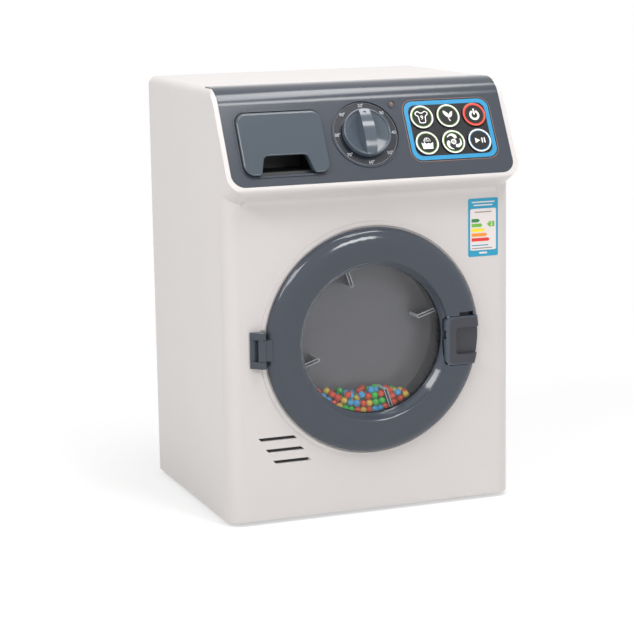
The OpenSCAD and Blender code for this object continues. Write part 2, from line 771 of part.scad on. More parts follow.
// Soft cups that return the keys
module key_mat() color([0.75, 0.75, 0.72]) difference() {
    union() {
        at_console() translate([keys_x, (post_v0 + post_v1) / 2, board_n + seat]) linear_extrude(mat_t)
            rounded_rect(fascia_w - 2.8, post_v1 - post_v0 - 2 * post_r - 0.8, 3);
        at_keys() translate([0, 0, board_n + seat]) cylinder(r = stem_r + 1.6, h = 4.4);
    }
    at_keys() translate([0, 0, board_n + mat_t]) cylinder(r = stem_r + 0.4, h = 8);
}

board_t = 1.6;
module control_board() color([0.1, 0.4, 0.25]) difference() {
    at_console() translate([(post_x0 + post_x1) / 2 - 1.2, (post_v0 + post_v1) / 2, board_n - board_t])
        linear_extrude(board_t)
            rounded_rect(post_x1 - post_x0 + 8, post_v1 - post_v0 + 7.6, 4);
    at_console() for (p = post_spots) translate([p[0], p[1], 0])
        cylinder(r = screw_r + 0.2, h = 60, center = true);
}

module board_screws() color(steel) at_console() for (p = post_spots)
    translate([p[0], p[1], board_n - board_t - seat]) rotate([180, 0, 0]) pan_screw(7);

module led() color([0.95, 0.6, 0.2]) at_console() translate([led_x, led_v, board_n + seat]) {
    cylinder(r = 1.7, h = 6);
    translate([0, 0, 6]) sphere(r = 1.7);
}

module led_lens() color([0.95, 0.75, 0.5]) at_console() translate([led_x, led_v, 0]) {
    translate([0, 0, -panel_t - 1]) cylinder(r = 1.95, h = panel_t + 1);
    translate([0, 0, -panel_t - 1]) cylinder(r = 2.8, h = 0.95);
    intersection() {
        translate([0, 0, -3]) sphere(r = 3.58);
        cylinder(r = 1.95, h = 3);
    }
}

// ---- door ----

crown_r = door_r - 12;
ring_back = 0.6;         // air between the ring and the front face

function ring_outer(d) = concat(
    [[door_r - d, ring_back]],
    [for (a = [0:11.25:90]) [crown_r + (12 - d) * cos(a), 2 + (door_proud - 2 - d) * sin(a)]],
    [[lip_r + 2 + d / 2, door_proud - 0.5 - d], [lip_r + 0.4 + d, door_proud - 1.3 - d]]
);
module ring_body() rotate_extrude($fn = 96) polygon(concat(
    ring_outer(0), [[lip_r, door_proud - 2.2], [port_r, 1.2], [port_r, ring_back]]
));
module ring_hollow() rotate_extrude($fn = 96) polygon(concat(
    [[door_r - ring_wall, ring_back - eps]], ring_outer(ring_wall),
    [[port_r + 2.8, 1.4], [port_r + 2.8, ring_back - eps]]
));

handle_h = 5;            // height of the handle's pin ahead of the front face
handle_t = 3;            // radius of the handle's rounded end
handle_edge = 2.5;       // rounding of the handle's outer edge
notch_floor = 1.8;
door_screw_r = 57.6;
door_screw_angles = [45, 135, 225, 315];

// Outline of the handle seen from the front, grown by m, with corners of radius r
handle_corner = 4.4;
notch_corner = 3.2;      // smaller, so that the handle's corners clear it as it turns
module handle_plan(m, r) {
    w = 40;
    h = handle_low + handle_top + 2 * m;
    translate([handle_x - handle_t - m + w / 2, (handle_top - handle_low) / 2]) rounded_rect(w, h, r);
}

module handle_notch(m) {
    low = notch_floor - (m > 0 ? 3 : 0);
    translate([0, 0, low]) linear_extrude(20) handle_plan(0.4 + m, notch_corner + m);
    translate([handle_x + 6.9 - m, handle_top - 1, low]) cube([11 + 2 * m, 4 + m, 20]);
}

module door_ring() color(steel_grey) at_door() difference() {
    union() {
        difference() {
            ring_body();
            ring_hollow();
        }
        intersection() {
            ring_body();
            handle_notch(1.6);
        }
        intersection() {
            translate([0, 0, ring_back]) cylinder(r = crown_r, h = door_proud - ring_back - ring_wall / 2);
            for (a = door_screw_angles) rotate(a) translate([door_screw_r, 0, ring_back - 0.4])
                cylinder(r = 2.9, h = 8);
        }
        // knuckle of the hinge
        difference() {
            union() {
                rotate([90, 0, 0]) translate([-hinge_x, hinge_h, 0])
                    cylinder(r = knuckle_r, h = knuckle_l, center = true);
                translate([-hinge_x, -knuckle_l / 2, hinge_h - knuckle_r + 0.6])
                    cube([hinge_x - door_r + 3, knuckle_l, 2 * knuckle_r - 1.8]);
            }
            ring_hollow();
        }
    }
    handle_notch(0);
    translate([0, 0, ring_back - 1]) linear_extrude(4) claw_window(0);
    rotate([90, 0, 0]) translate([-hinge_x, hinge_h, 0])
        cylinder(r = hinge_pin_r + running, h = 60, center = true);
    rotate([90, 0, 0]) translate([handle_x, handle_h, (handle_low - handle_top) / 2])
        cylinder(r = handle_pin_r + running, h = handle_low + handle_top + 4.4, center = true);
    for (a = door_screw_angles) rotate(a) translate([door_screw_r, 0, ring_back - eps])
        cylinder(r = screw_bore_r, h = 4.9);
}

module door_back_ring() color(dark) at_door() difference() {
    rotate_extrude($fn = 96) polygon([
        [port_r - 0.2, -2.6], [well_r - 1.2, -2.6], [well_r - 1.2, 0.1], [port_r + 2.7, 0.1],
        [port_r + 2.7, -window_t + 0.25], [port_r - 0.2, -window_t + 0.25],
    ]);
    for (a = door_screw_angles) rotate(a) translate([door_screw_r, 0, -5])
        cylinder(r = screw_r + 0.2, h = 10);
}

module door_window() color(clear) at_door() {
    top = ring_back - 0.15;
    steps = 8;
    dome = [
        for (i = [0:steps])
            let (t = 1 - i / steps) [port_r * t, top + window_dome * (1 - t * t)]
    ];
    under = [
        for (i = [0:steps])
            let (t = i / steps) [port_r * t, top - window_t + window_dome * (1 - t * t)]
    ];
    flange = [[port_r + 2.4, top - window_t], [port_r + 2.4, top]];
    rotate_extrude($fn = 96) polygon(concat(flange, dome, under));
}

module door_screws() color(steel) at_door() for (a = door_screw_angles) rotate(a)
    translate([door_screw_r, 0, -2.6 - seat]) rotate([180, 0, 0]) pan_screw(6.5);

recess_d = 4.6;          // depth of the handle's finger recess
spring_y0 = -3;
spring_y1 = 3;
module door_handle() color(dark) at_door() difference() {
    union() {
        intersection() {
            rotate([90, 0, 0]) translate([handle_x, handle_h, -handle_top])
                cylinder(r = handle_t, h = handle_low + handle_top);
            linear_extrude(20) handle_plan(0, handle_corner);
        }
        intersection() {
            linear_extrude(20) handle_plan(0, handle_corner);
            translate([handle_x, -handle_low, handle_h - handle_t + 0.2])
                cube([40, handle_low + handle_top, 2 * handle_t - 0.2]);
            rotate_extrude($fn = 96) polygon(concat(
                [[0, 0], [door_r - 0.4, 0]],
                [
                    for (a = [0:15:90]) [
                        door_r - 0.4 - handle_edge * (1 - cos(a)),
                        handle_h + handle_t - handle_edge * (1 - sin(a)),
                    ]
                ],
                [[0, handle_h + handle_t]]
            ));
        }
        translate([claw_x0, claw_y0, -6.6]) cube([claw_x1 - claw_x0, claw_y1 - claw_y0, 10]);
        translate([claw_x0, claw_y0, -6.6]) rotate([90, 0, 0]) mirror([0, 0, 1])
            linear_extrude(claw_y1 - claw_y0)
                polygon([[0, 0], [claw_x1 - claw_x0, 0], [claw_x1 - claw_x0 - 0.6, -1.2], [0.9, -1.2]]);
    }
    // finger recess, open at the ring's edge
    translate([handle_x + 4.4 + 15, -4.8, handle_h + handle_t - recess_d]) linear_extrude(10)
        rounded_rect(30, 18.4, 2.5);
    rotate([90, 0, 0]) translate([handle_x, handle_h, 0])
        cylinder(r = handle_pin_r + running, h = 80, center = true);
    translate([handle_x - 5, spring_y0, handle_h - handle_t - 1])
        cube([5 + 3, spring_y1 - spring_y0, handle_t + 2.9]);
}

module handle_pin() color(steel) at_door()
    rotate([90, 0, 0]) translate([handle_x, handle_h, (handle_low - handle_top) / 2])
        cylinder(r = handle_pin_r, h = handle_low + handle_top + 4, center = true);

module handle_spring() color(steel) at_door() {
    wire = 0.3;
    coil_r = handle_pin_r + wire + 0.1;
    rotate([90, 0, 0]) translate([handle_x, handle_h, 0]) {
        for (k = [-3:3]) translate([0, 0, k * 1.8 * wire]) rotate_extrude()
            translate([coil_r, 0]) circle(wire, $fn = 16);
    }
    translate([handle_x, 1.6, handle_h - coil_r - 0.02]) rotate([0, 90, 0])
        cylinder(r = wire, h = 2.2, $fn = 16);
    translate([handle_x + 2, 1.6, notch_floor + seat])
        cylinder(r = wire, h = handle_h - coil_r - notch_floor, $fn = 16);
}

hinge_half = 12;
hinge_peg_r = 1.5;
ear_l = (2 * hinge_half - knuckle_l) / 2 - gap;
module hinge_bracket() color(steel_grey) at_door() difference() {
    union() {
        translate([-hinge_x - 7, -hinge_half, seat]) cube([10.2, 2 * hinge_half, 1.4]);
        for (s = [-1, 1]) translate([0, s * (hinge_half - ear_l / 2), 0]) {
            rotate([90, 0, 0]) translate([-hinge_x, hinge_h, 0])
                cylinder(r = knuckle_r, h = ear_l, center = true);
            translate([-hinge_x - knuckle_r, -ear_l / 2, seat]) cube([2 * knuckle_r, ear_l, hinge_h - seat]);
            translate([-hinge_x, -ear_l / 2, 0]) rotate([90, 0, 0]) mirror([0, 0, 1]) linear_extrude(ear_l)
                polygon([[-6.5, 1], [0, 1], [0, hinge_h + 1], [-knuckle_r * 0.9, hinge_h + 1]]);
        }
        for (y = [-1, 1]) translate([-hinge_x - 4, y * (hinge_half - 3), -4.6])
            cylinder(r = hinge_peg_r, h = 5.6);
    }
    rotate([90, 0, 0]) translate([-hinge_x, hinge_h, 0])
        cylinder(r = hinge_pin_r + running, h = 60, center = true);
}

module hinge_pin() color(steel) at_door() rotate([90, 0, 0]) translate([-hinge_x, hinge_h, 0])
    cylinder(r = hinge_pin_r, h = 2 * hinge_half, center = true);

// Catch plate behind the slot that takes the handle's claw
module latch_strike() color(dark) at_door() difference() {
    translate([claw_x0 + 1.3, (claw_y0 + claw_y1) / 2, -wall - 1.7]) linear_extrude(1.6)
        rounded_rect(2 * (strike_x1 - claw_x0 + 5.5), 22, 2);
    translate([0, 0, -10]) cylinder(r = well_r + well_wall + 0.3, h = 20);
    translate([0, 0, -10]) linear_extrude(20) claw_window(0.2);
}

// ---- bead drum ----

drum_front_h = 4;        // distance of the drum's clear front behind the front face
clear_t = 1.5;
drum_back_h = drum_front_h + clear_t + chamber_d;
drum_wall_t = 1.6;
fin_turn = 18;
fin_t = 2;
fin_r0 = 38.5;
drum_in_r = drum_r - drum_wall_t;
module drum_front() color(clear) at_door() {
    translate([0, 0, -drum_front_h - clear_t]) cylinder(r = drum_r, h = clear_t, $fn = 96);
    for (k = [0:3]) rotate(fin_turn + 90 * k)
        translate([0, 0, -drum_front_h - clear_t - chamber_d + 2]) {
            translate([fin_r0, -fin_t / 2, 0]) cube([drum_in_r - 0.2 - fin_r0, fin_t, chamber_d - 2 + 0.2]);
            translate([fin_r0, 0, 0]) cylinder(r = fin_t / 2, h = chamber_d - 2 + 0.2);
        }
}

module drum_wall() color(black) at_door() difference() {
    translate([0, 0, -drum_back_h + seat])
        tube(drum_r, drum_in_r, chamber_d - 2 * seat);
    for (i = [0:notch_n - 1]) rotate(i * 360 / notch_n)
        translate([drum_r - 3, -1.2, -drum_front_h - clear_t - 5]) cube([5, 2.4, 3.2]);
}

back_t = 2;
hub_l = 4;
module drum_back() color([0.45, 0.45, 0.46]) at_door() difference() {
    union() {
        translate([0, 0, -drum_back_h - back_t]) cylinder(r = drum_r, h = back_t, $fn = 96);
        translate([0, 0, -drum_back_h - back_t - hub_l]) cylinder(r = 6, h = hub_l + 0.2);
        for (a = [0:60:300]) rotate(a)
            translate([5, -0.8, -drum_back_h - back_t - 2]) cube([drum_r - 8, 1.6, 2.2]);
    }
    translate([0, 0, -drum_back_h - back_t - hub_l - eps])
        cylinder(r = shaft_r + 0.02, h = hub_l + eps + 0.8);
}

// Beads lie in rows along the wall, in three layers, on both sides of the low fin
module beads() color([0.9, 0.5, 0.3]) at_door() {
    fin_angle = fin_turn + 270;
    layer_gap = (chamber_d - 2 * bead_r - 0.3) / 2;
    for (layer = [0:2], row = [0:2], side = [-1, 1]) {
        r = drum_in_r - 0.1 - bead_r - row * (2 * bead_r + 0.1);
        step = 2 * asin((bead_r + 0.05) / r);
        first = asin((bead_r + fin_t / 2 + 0.15) / r);
        for (i = [0:16]) {
            a = fin_angle + side * (first + i * step);
            chain = row == 0 && layer == 0 && side < 0 && a > 212;
            h = -drum_front_h - clear_t - 0.15 - bead_r - layer * layer_gap;
            if (r * sin(a) < -bead_level || chain)
                translate([r * cos(a), r * sin(a), h]) sphere(r = bead_r, $fn = 24);
        }
    }
}

plate_t = 2.5;
bearing_l = 5;
gear_t = 4;
gear_h = drive_h + plate_t + bearing_l + 1;     // front of the drum gear behind the front face
idler_h = gear_h + gear_t + 1;                  // front of the idler's large gear
cover_in_h = idler_h + gear_t + 1;              // inside of the gearbox cover
cover_t = 2.5;
idler_angle = 200;
motor_angle = 110;
function mesh_gap(a, b) = gear_m * (a + b) / 2 + 0.05;
idler_at = mesh_gap(drum_teeth, pinion_teeth) * [cos(idler_angle), sin(idler_angle)];
motor_at = idler_at + mesh_gap(idler_teeth, pinion_teeth) * [cos(motor_angle), sin(motor_angle)];

module drum_shaft() color(steel) at_door() translate([0, 0, -cover_in_h - cover_t + 0.4])
    cylinder(r = shaft_r, h = cover_in_h + cover_t - 0.4 - drum_back_h - back_t + 0.5);

// Involute gear outline with teeth centred on angle 0
function inv(a) = tan(a) * 180 / PI - a;
function tooth_half(r, z, rb) =
    90 / z + inv(20) - inv(acos(min(1, rb / r))) - backlash / (gear_m * z) * 90 / PI;
function gear_points(z) = let (
    rp = gear_m * z / 2,
    rb = rp * cos(20),
    root = rp - 1.25 * gear_m,
    low = max(rb, root + 0.05),
    tip = rp + 0.9 * gear_m,
    radii = [root, low, rp - 0.3 * gear_m, rp + 0.3 * gear_m, tip]
) [
    for (i = [0:z - 1], s = [-1, 1], k = [0:4])
        let (
            r = s < 0 ? radii[k] : radii[4 - k],
            a = 360 * i / z + s * tooth_half(max(r, low), z, rb)
        ) r * [cos(a), sin(a)]
];

module drum_gear() color(white) at_door() translate([0, 0, -gear_h - gear_t]) difference() {
    linear_extrude(gear_t) rotate(idler_angle) polygon(gear_points(drum_teeth));
    translate([0, 0, -eps]) cylinder(r = shaft_r + 0.02, h = gear_t + 1);
    for (a = [0:60:300]) rotate(a) translate([11, 0, -eps]) cylinder(r = 3.2, h = gear_t + 1);
}

idler_pin_r = 1.5;
module idler_gear() color(white) at_door() translate([idler_at[0], idler_at[1], 0]) difference() {
    union() {
        translate([0, 0, -gear_h - gear_t - 1]) linear_extrude(gear_t + 1)
            rotate(idler_angle + 180 + 180 / pinion_teeth) polygon(gear_points(pinion_teeth));
        translate([0, 0, -idler_h - gear_t]) linear_extrude(gear_t)
            rotate(motor_angle) polygon(gear_points(idler_teeth));
    }
    translate([0, 0, -idler_h - gear_t - eps]) cylinder(r = idler_pin_r + running, h = 20);
}

module idler_pin() color(steel) at_door() translate([idler_at[0], idler_at[1], -cover_in_h - cover_t + 0.4])
    cylinder(r = idler_pin_r, h = cover_in_h + cover_t - 0.4 - drive_h - 0.6);

motor_shaft_r = 1;
motor_nose = 3;
module motor_pinion() color(brass) at_motor(0) {
    translate([0, 0, -idler_h - gear_t]) linear_extrude(gear_t)
        rotate(motor_angle + 180 + 180 / pinion_teeth) polygon(gear_points(pinion_teeth));
    translate([0, 0, -cover_in_h - cover_t - 4]) cylinder(r = motor_shaft_r, h = 6 + cover_t);
}

// Spots of the screws that join the two halves of the gearbox
gearbox_spots = [[30, 12], [-50, 6], [-14, 40], [0, -30]];
module link(from, to, r) translate(from) rotate(atan2(to[1] - from[1], to[0] - from[0]))
    translate([0, -r]) square([norm(to - from), 2 * r]);
module gearbox_outline() {
    circle(gear_m * drum_teeth / 2 + 4);
    translate(idler_at) circle(gear_m * idler_teeth / 2 + 4);
    translate(motor_at) circle(motor_r + 3);
    for (p = gearbox_spots) translate(p) circle(boss_r + 1.4);
    link([0, 0], gearbox_spots[0], 4);
    link(idler_at, gearbox_spots[1], 4);
    link([0, 0], gearbox_spots[2], 4);
    link([0, 0], gearbox_spots[3], 4);
    link([0, 0], motor_at, 11);
}

module drive_plate() color(dark) at_door() difference() {
    union() {
        translate([0, 0, -drive_h - plate_t - seat]) linear_extrude(plate_t) {
            gearbox_outline();
            for (a = drive_angles) rotate(a) {
                translate([0, -6]) square([drive_boss_r, 12]);
                translate([drive_boss_r, 0]) circle(6);
            }
        }
        translate([0, 0, -drive_h - plate_t - seat - bearing_l]) cylinder(r = 5, h = bearing_l + 0.5);
        translate([idler_at[0], idler_at[1], -gear_h + 0.8]) cylinder(r = 4, h = gear_h - drive_h - 2);
        for (p = gearbox_spots) translate([p[0], p[1], -cover_in_h + seat])
            cylinder(r = boss_r, h = cover_in_h - drive_h - 1);
    }
    translate([0, 0, -gear_h - eps]) cylinder(r = shaft_r + running, h = 20);
    translate([idler_at[0], idler_at[1], -gear_h - eps])
        cylinder(r = idler_pin_r + 0.02, h = gear_h - drive_h + eps - 0.6);
    for (p = gearbox_spots) translate([p[0], p[1], -cover_in_h - eps])
        cylinder(r = screw_bore_r, h = 11);
    for (a = drive_angles) rotate(a) translate([drive_boss_r, 0, -drive_h - 10])
        cylinder(r = screw_r + 0.2, h = 20);
}

module drive_screws() color(steel) at_door() for (a = drive_angles) rotate(a)
    translate([drive_boss_r, 0, -drive_h - plate_t - 2 * seat]) rotate([180, 0, 0]) pan_screw(14);

module gearbox_cover() color(dark) at_door() difference() {
    union() {
        translate([0, 0, -cover_in_h - cover_t]) linear_extrude(cover_t) gearbox_outline();
        translate([motor_at[0], motor_at[1], -cover_in_h - cover_t - 10])
            for (s = [-1, 1]) translate([s * (motor_flat / 2 + 2) - 1, -7, 0]) cube([2, 14, 10.2]);
    }
    translate([0, 0, -cover_in_h - cover_t + 0.2]) cylinder(r = shaft_r + running, h = 20);
    translate([idler_at[0], idler_at[1], -cover_in_h - cover_t + 0.2])
        cylinder(r = idler_pin_r + 0.02, h = 20);
    translate([motor_at[0], motor_at[1], -cover_in_h - cover_t - eps]) cylinder(r = motor_nose + 0.1, h = 10);
    for (p = gearbox_spots) translate([p[0], p[1], -cover_in_h - cover_t - eps])
        cylinder(r = screw_r + 0.2, h = 10);
}

module gearbox_screws() color(steel) at_door() for (p = gearbox_spots)
    translate([p[0], p[1], -cover_in_h - cover_t - seat]) rotate([180, 0, 0]) pan_screw(9);

motor_r = 10;
motor_flat = 15;
motor_l = 25;
module at_motor(h) at_door() translate([motor_at[0], motor_at[1], h]) children();
module motor() color(steel) at_motor(-cover_in_h - cover_t - seat) difference() {
    union() {
        translate([0, 0, -motor_l]) intersection() {
            cylinder(r = motor_r, h = motor_l);
            translate([-motor_flat / 2, -motor_r, 0]) cube([motor_flat, 2 * motor_r, motor_l]);
        }
        cylinder(r = motor_nose, h = 1.6);
        translate([0, 0, -motor_l - 1.8]) cylinder(r = 4.5, h = 2);
    }
    translate([0, 0, -4.2]) cylinder(r = motor_shaft_r + running, h = 10);
}

// Strap that holds the motor against the gearbox cover
module motor_clamp() color(dark) at_motor(-cover_in_h - cover_t) {
    translate([-motor_flat / 2 - 3 - 1.8, -4, -motor_l - 1.9 - 2])
        cube([motor_flat + 6 + 3.6, 8, 1.8]);
    for (s = [-1, 1]) translate([s * (motor_flat / 2 + 3.9) - 0.8, -4, -motor_l - 3])
        cube([1.6, 8, motor_l + 2.9]);
}

// ---- power and sound ----

module speaker() color(black) at_door() translate([speaker_x, speaker_y, -wall - seat]) {
    translate([0, 0, -2]) cylinder(r = speaker_r, h = 2);
    translate([0, 0, -6]) cylinder(r1 = speaker_r * 0.62, r2 = speaker_r - 1.5, h = 4.1);
    translate([0, 0, -10]) cylinder(r = speaker_r * 0.62, h = 4.1);
}

cell_y = back_y - rear_t - box_d + box_wall + 0.3 + cell_r;
module batteries() color([0.2, 0.45, 0.25]) for (k = [-1:1])
    translate([k * (2 * cell_r + 0.6), cell_y, box_c - cell_l / 2]) mirror([0, 0, k == 0 ? 1 : 0])
        translate([0, 0, k == 0 ? -cell_l : 0]) {
            cylinder(r = cell_r, h = cell_l);
            cylinder(r = 2.6, h = cell_l + 0.9);
        }

module battery_contacts() color(steel) for (k = [-1:1], s = [-1, 1]) {
    wall_z = box_c + s * (box_h / 2 - box_wall);
    spring = (k == 0) == (s > 0);
    translate([k * (2 * cell_r + 0.6), cell_y, wall_z - s * 0.3]) {
        cube([10, 10, 0.5], center = true);
        if (spring) for (i = [0:2]) translate([0, 0, -s * (0.6 + 0.72 * i)])
            rotate_extrude() translate([3.6 - 0.5 * i, 0]) circle(0.4, $fn = 16);
        if (!spring) translate([0, 0, -s * 0.8]) cylinder(r = 2, h = 1.2, center = true);
    }
}

module battery_cover() color(white) difference() {
    union() {
        at_rear(box_c + 1, back_y - lid_t) linear_extrude(lid_t) rounded_rect(lid_w, lid_h, 3.7);
        at_rear(lid_screw_z, back_y - lid_t - lid_boss) cylinder(r = 4, h = lid_boss + 0.5);
    }
    for (k = [-3:3]) translate([-12, back_y - 0.5, box_c - box_h / 2 + 14 + k * 2.6]) cube([24, 1, 1.2]);
    at_rear(lid_screw_z, back_y - lid_t - 2) cylinder(r = screw_r + 0.2, h = 6);
    at_rear(lid_screw_z, back_y - screw_head_h - 0.1) cylinder(r = screw_head_r + 0.3, h = 6);
}

module battery_screw() color(steel) at_rear(lid_screw_z, back_y - screw_head_h - 0.05) pan_screw(6);

cabinet_shell();
rear_cover();
rubber_feet();
case_screws();
console_panel();
drawer_front();
drawer_tray();
drawer_housing();
dial_plate();
knob();
click_wheel();
click_spring();
knob_screw();
key_fascia();
key_wash();
key_leaf();
key_power();
key_soak();
key_spin();
key_start();
key_mat();
control_board();
board_screws();
led();
led_lens();
door_ring();
door_back_ring();
door_window();
door_screws();
door_handle();
handle_pin();
handle_spring();
hinge_bracket();
hinge_pin();
latch_strike();
drum_front();
drum_wall();
drum_back();
beads();
drum_shaft();
drum_gear();
drive_plate();
drive_screws();
idler_gear();
idler_pin();
gearbox_cover();
gearbox_screws();
motor();
motor_pinion();
motor_clamp();
speaker();
batteries();
battery_contacts();
battery_cover();
battery_screw();
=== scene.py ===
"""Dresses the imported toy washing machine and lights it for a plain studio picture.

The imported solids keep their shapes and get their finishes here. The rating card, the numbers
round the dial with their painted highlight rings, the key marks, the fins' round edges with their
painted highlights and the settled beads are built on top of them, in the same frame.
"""

from __future__ import annotations

import json
import logging
import math
import random
from dataclasses import dataclass, field
from enum import Enum
from typing import Iterable, Sequence, Union

import bmesh
import bpy
from mathutils import Matrix, Vector, kdtree

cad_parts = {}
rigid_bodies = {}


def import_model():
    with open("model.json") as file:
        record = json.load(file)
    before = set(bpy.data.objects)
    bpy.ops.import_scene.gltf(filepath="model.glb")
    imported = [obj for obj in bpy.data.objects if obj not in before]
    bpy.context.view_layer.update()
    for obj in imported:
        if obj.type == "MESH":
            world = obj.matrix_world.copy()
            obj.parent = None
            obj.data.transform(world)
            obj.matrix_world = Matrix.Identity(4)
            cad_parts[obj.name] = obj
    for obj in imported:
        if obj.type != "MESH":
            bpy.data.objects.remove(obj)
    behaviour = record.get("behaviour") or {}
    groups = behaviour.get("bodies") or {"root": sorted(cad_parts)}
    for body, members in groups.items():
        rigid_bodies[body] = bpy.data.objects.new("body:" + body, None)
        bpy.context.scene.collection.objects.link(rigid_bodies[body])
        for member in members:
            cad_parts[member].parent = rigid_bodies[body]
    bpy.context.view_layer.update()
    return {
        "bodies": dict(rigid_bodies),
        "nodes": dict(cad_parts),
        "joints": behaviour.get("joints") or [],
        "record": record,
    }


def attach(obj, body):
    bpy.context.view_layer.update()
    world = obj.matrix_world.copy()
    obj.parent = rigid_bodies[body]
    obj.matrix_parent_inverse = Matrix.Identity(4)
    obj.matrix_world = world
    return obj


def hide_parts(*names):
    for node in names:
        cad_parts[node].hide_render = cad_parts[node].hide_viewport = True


LOG = logging.getLogger("toy_washer")
MM = 0.001
FONT_SCALE = 1.38
FONT_WEIGHT = 0.012
Point = tuple[float, float]
Colour = tuple[float, float, float]
Layer = tuple[float, float]


# --------------------------------------------------------------------------------------------
# Colours and shader expressions
# --------------------------------------------------------------------------------------------


def from_screen(red: int, green: int, blue: int) -> Colour:
    """Turn a colour as a screen shows it into the linear colour that a shader takes.

    Args:
        red: Red from 0 to 255.
        green: Green from 0 to 255.
        blue: Blue from 0 to 255.

    Returns:
        The linear colour.
    """

    def linear(value: int) -> float:
        """Undo the screen's curve for one channel."""
        share = value / 255
        return share / 12.92 if share <= 0.04045 else ((share + 0.055) / 1.055) ** 2.4

    return linear(red), linear(green), linear(blue)


Operand = Union["Signal", float]


@dataclass(frozen=True)
class Signal:
    """A number that varies over a surface; arithmetic on it adds Math nodes."""

    graph: "Graph"
    socket: bpy.types.NodeSocket

    def _math(self, operation: str, first: Operand, second: Operand) -> "Signal":
        """Add one Math node.

        Args:
            operation: The node's operation.
            first: Its first value.
            second: Its second value.

        Returns:
            The node's result.
        """
        return self.graph.add("ShaderNodeMath", {"operation": operation}, {0: first, 1: second})

    def __add__(self, other: Operand) -> "Signal":
        """Add a value."""
        return self._math("ADD", self, other)

    __radd__ = __add__

    def __sub__(self, other: Operand) -> "Signal":
        """Take a value away."""
        return self._math("SUBTRACT", self, other)

    def __rsub__(self, other: Operand) -> "Signal":
        """Take this from a value."""
        return self._math("SUBTRACT", other, self)

    def __mul__(self, other: Operand) -> "Signal":
        """Multiply by a value."""
        return self._math("MULTIPLY", self, other)

    __rmul__ = __mul__

    def __pow__(self, other: Operand) -> "Signal":
        """Raise to a power."""
        return self._math("POWER", self, other)

    def above(self, limit: float) -> "Signal":
        """Give 1 where this is over the limit and 0 elsewhere."""
        return self._math("GREATER_THAN", self, limit)

    def at_least(self, other: Operand) -> "Signal":
        """Give the larger of this and a value."""
        return self._math("MAXIMUM", self, other)

    def wave(self) -> "Signal":
        """Give the sine of this, in radians."""
        return self._math("SINE", self, 0.0)

    def __abs__(self) -> "Signal":
        """Drop the sign."""
        return self._math("ABSOLUTE", self, 0.0)


class Graph:
    """The node tree of one material or world."""

    def __init__(self, tree: bpy.types.NodeTree) -> None:
        """Start from an empty tree."""
        self.tree = tree
        self.tree.nodes.clear()

    def add(
        self,
        kind: str,
        settings: dict[str, object] | None = None,
        inputs: dict[int | str, object] | None = None,
        output: int | str = 0,
    ) -> Signal:
        """Add a node of any type.

        Args:
            kind: The node's type.
            settings: Its settings, set before its sockets; "stops" fills a colour ramp.
            inputs: Values or signals for its sockets, by index or name.
            output: The output that is wanted.

        Returns:
            The wanted output.
        """
        node = self.tree.nodes.new(kind)
        for key, value in (settings or {}).items():
            if key == "stops":
                self._fill_ramp(node.color_ramp, value)
            else:
                setattr(node, key, value)
        for key, value in (inputs or {}).items():
            if isinstance(value, Signal):
                self.tree.links.new(value.socket, node.inputs[key])
            else:
                node.inputs[key].default_value = value
        return Signal(self, node.outputs[output]) if node.outputs else None

    @staticmethod
    def _fill_ramp(ramp: bpy.types.ColorRamp, stops: Sequence[tuple[float, float]]) -> None:
        """Give a ramp its stops.

        Args:
            ramp: The ramp.
            stops: Pairs of place and grey value.
        """
        while len(ramp.elements) < len(stops):
            ramp.elements.new(0.5)
        for element, (place, grey) in zip(ramp.elements, stops):
            element.position = place
            element.color = (grey, grey, grey, 1)

    def place(self) -> Signal:
        """Give the place on the object, in metres."""
        return self.add("ShaderNodeTexCoord", output="Object")

    def along(self, axis: str) -> Signal:
        """Give one coordinate of the place on the object: "X", "Y" or "Z"."""
        return self.add("ShaderNodeSeparateXYZ", inputs={0: self.place()}, output=axis)

    def noise(self, scale: float, detail: float = 3, roughness: float = 0.5) -> Signal:
        """Make cloudy noise.

        Args:
            scale: How many patches there are in a metre.
            detail: How many finer layers it has.
            roughness: How strong the finer layers are.

        Returns:
            Noise from 0 to 1.
        """
        return self.add(
            "ShaderNodeTexNoise",
            inputs={
                "Vector": self.place(),
                "Scale": scale,
                "Detail": detail,
                "Roughness": roughness,
            },
        )

    def blend_colours(self, first: object, second: object, factor: Operand) -> Signal:
        """Mix two colours.

        Args:
            first: The colour at factor 0.
            second: The colour at factor 1.
            factor: How much of the second.

        Returns:
            The mixed colour.
        """
        return self.add(
            "ShaderNodeMix",
            {"data_type": "RGBA"},
            {0: factor, 6: first, 7: second},
            output=2,
        )

    def ramp(self, factor: Signal, stops: Sequence[tuple[float, float]]) -> Signal:
        """Bend a signal through grey stops.

        Args:
            factor: The signal.
            stops: Pairs of place and grey value.

        Returns:
            The bent signal.
        """
        return self.add("ShaderNodeValToRGB", {"stops": stops}, {0: factor})

    def bump(self, height: Signal, strength: float, distance: float) -> Signal:
        """Turn a height into a normal.

        Args:
            height: The height signal.
            strength: How strong the relief looks.
            distance: The relief's depth in metres.

        Returns:
            The bent normal.
        """
        return self.add(
            "ShaderNodeBump",
            inputs={"Height": height, "Strength": strength, "Distance": distance},
        )

    def surface(self, shader: Signal) -> None:
        """End the tree in its surface output."""
        self.add("ShaderNodeOutputMaterial", inputs={"Surface": shader})


def new_material(name: str) -> tuple[bpy.types.Material, Graph]:
    """Make an empty node material.

    Args:
        name: The material's name.

    Returns:
        The material and its graph.
    """
    material = bpy.data.materials.new(name)
    material.use_nodes = True
    return material, Graph(material.node_tree)


def rgba(colour: Colour, gain: float = 1.0) -> tuple[float, float, float, float]:
    """Give a colour its alpha, made lighter or darker by a gain."""
    return colour[0] * gain, colour[1] * gain, colour[2] * gain, 1.0


# --------------------------------------------------------------------------------------------
# Finishes
# --------------------------------------------------------------------------------------------


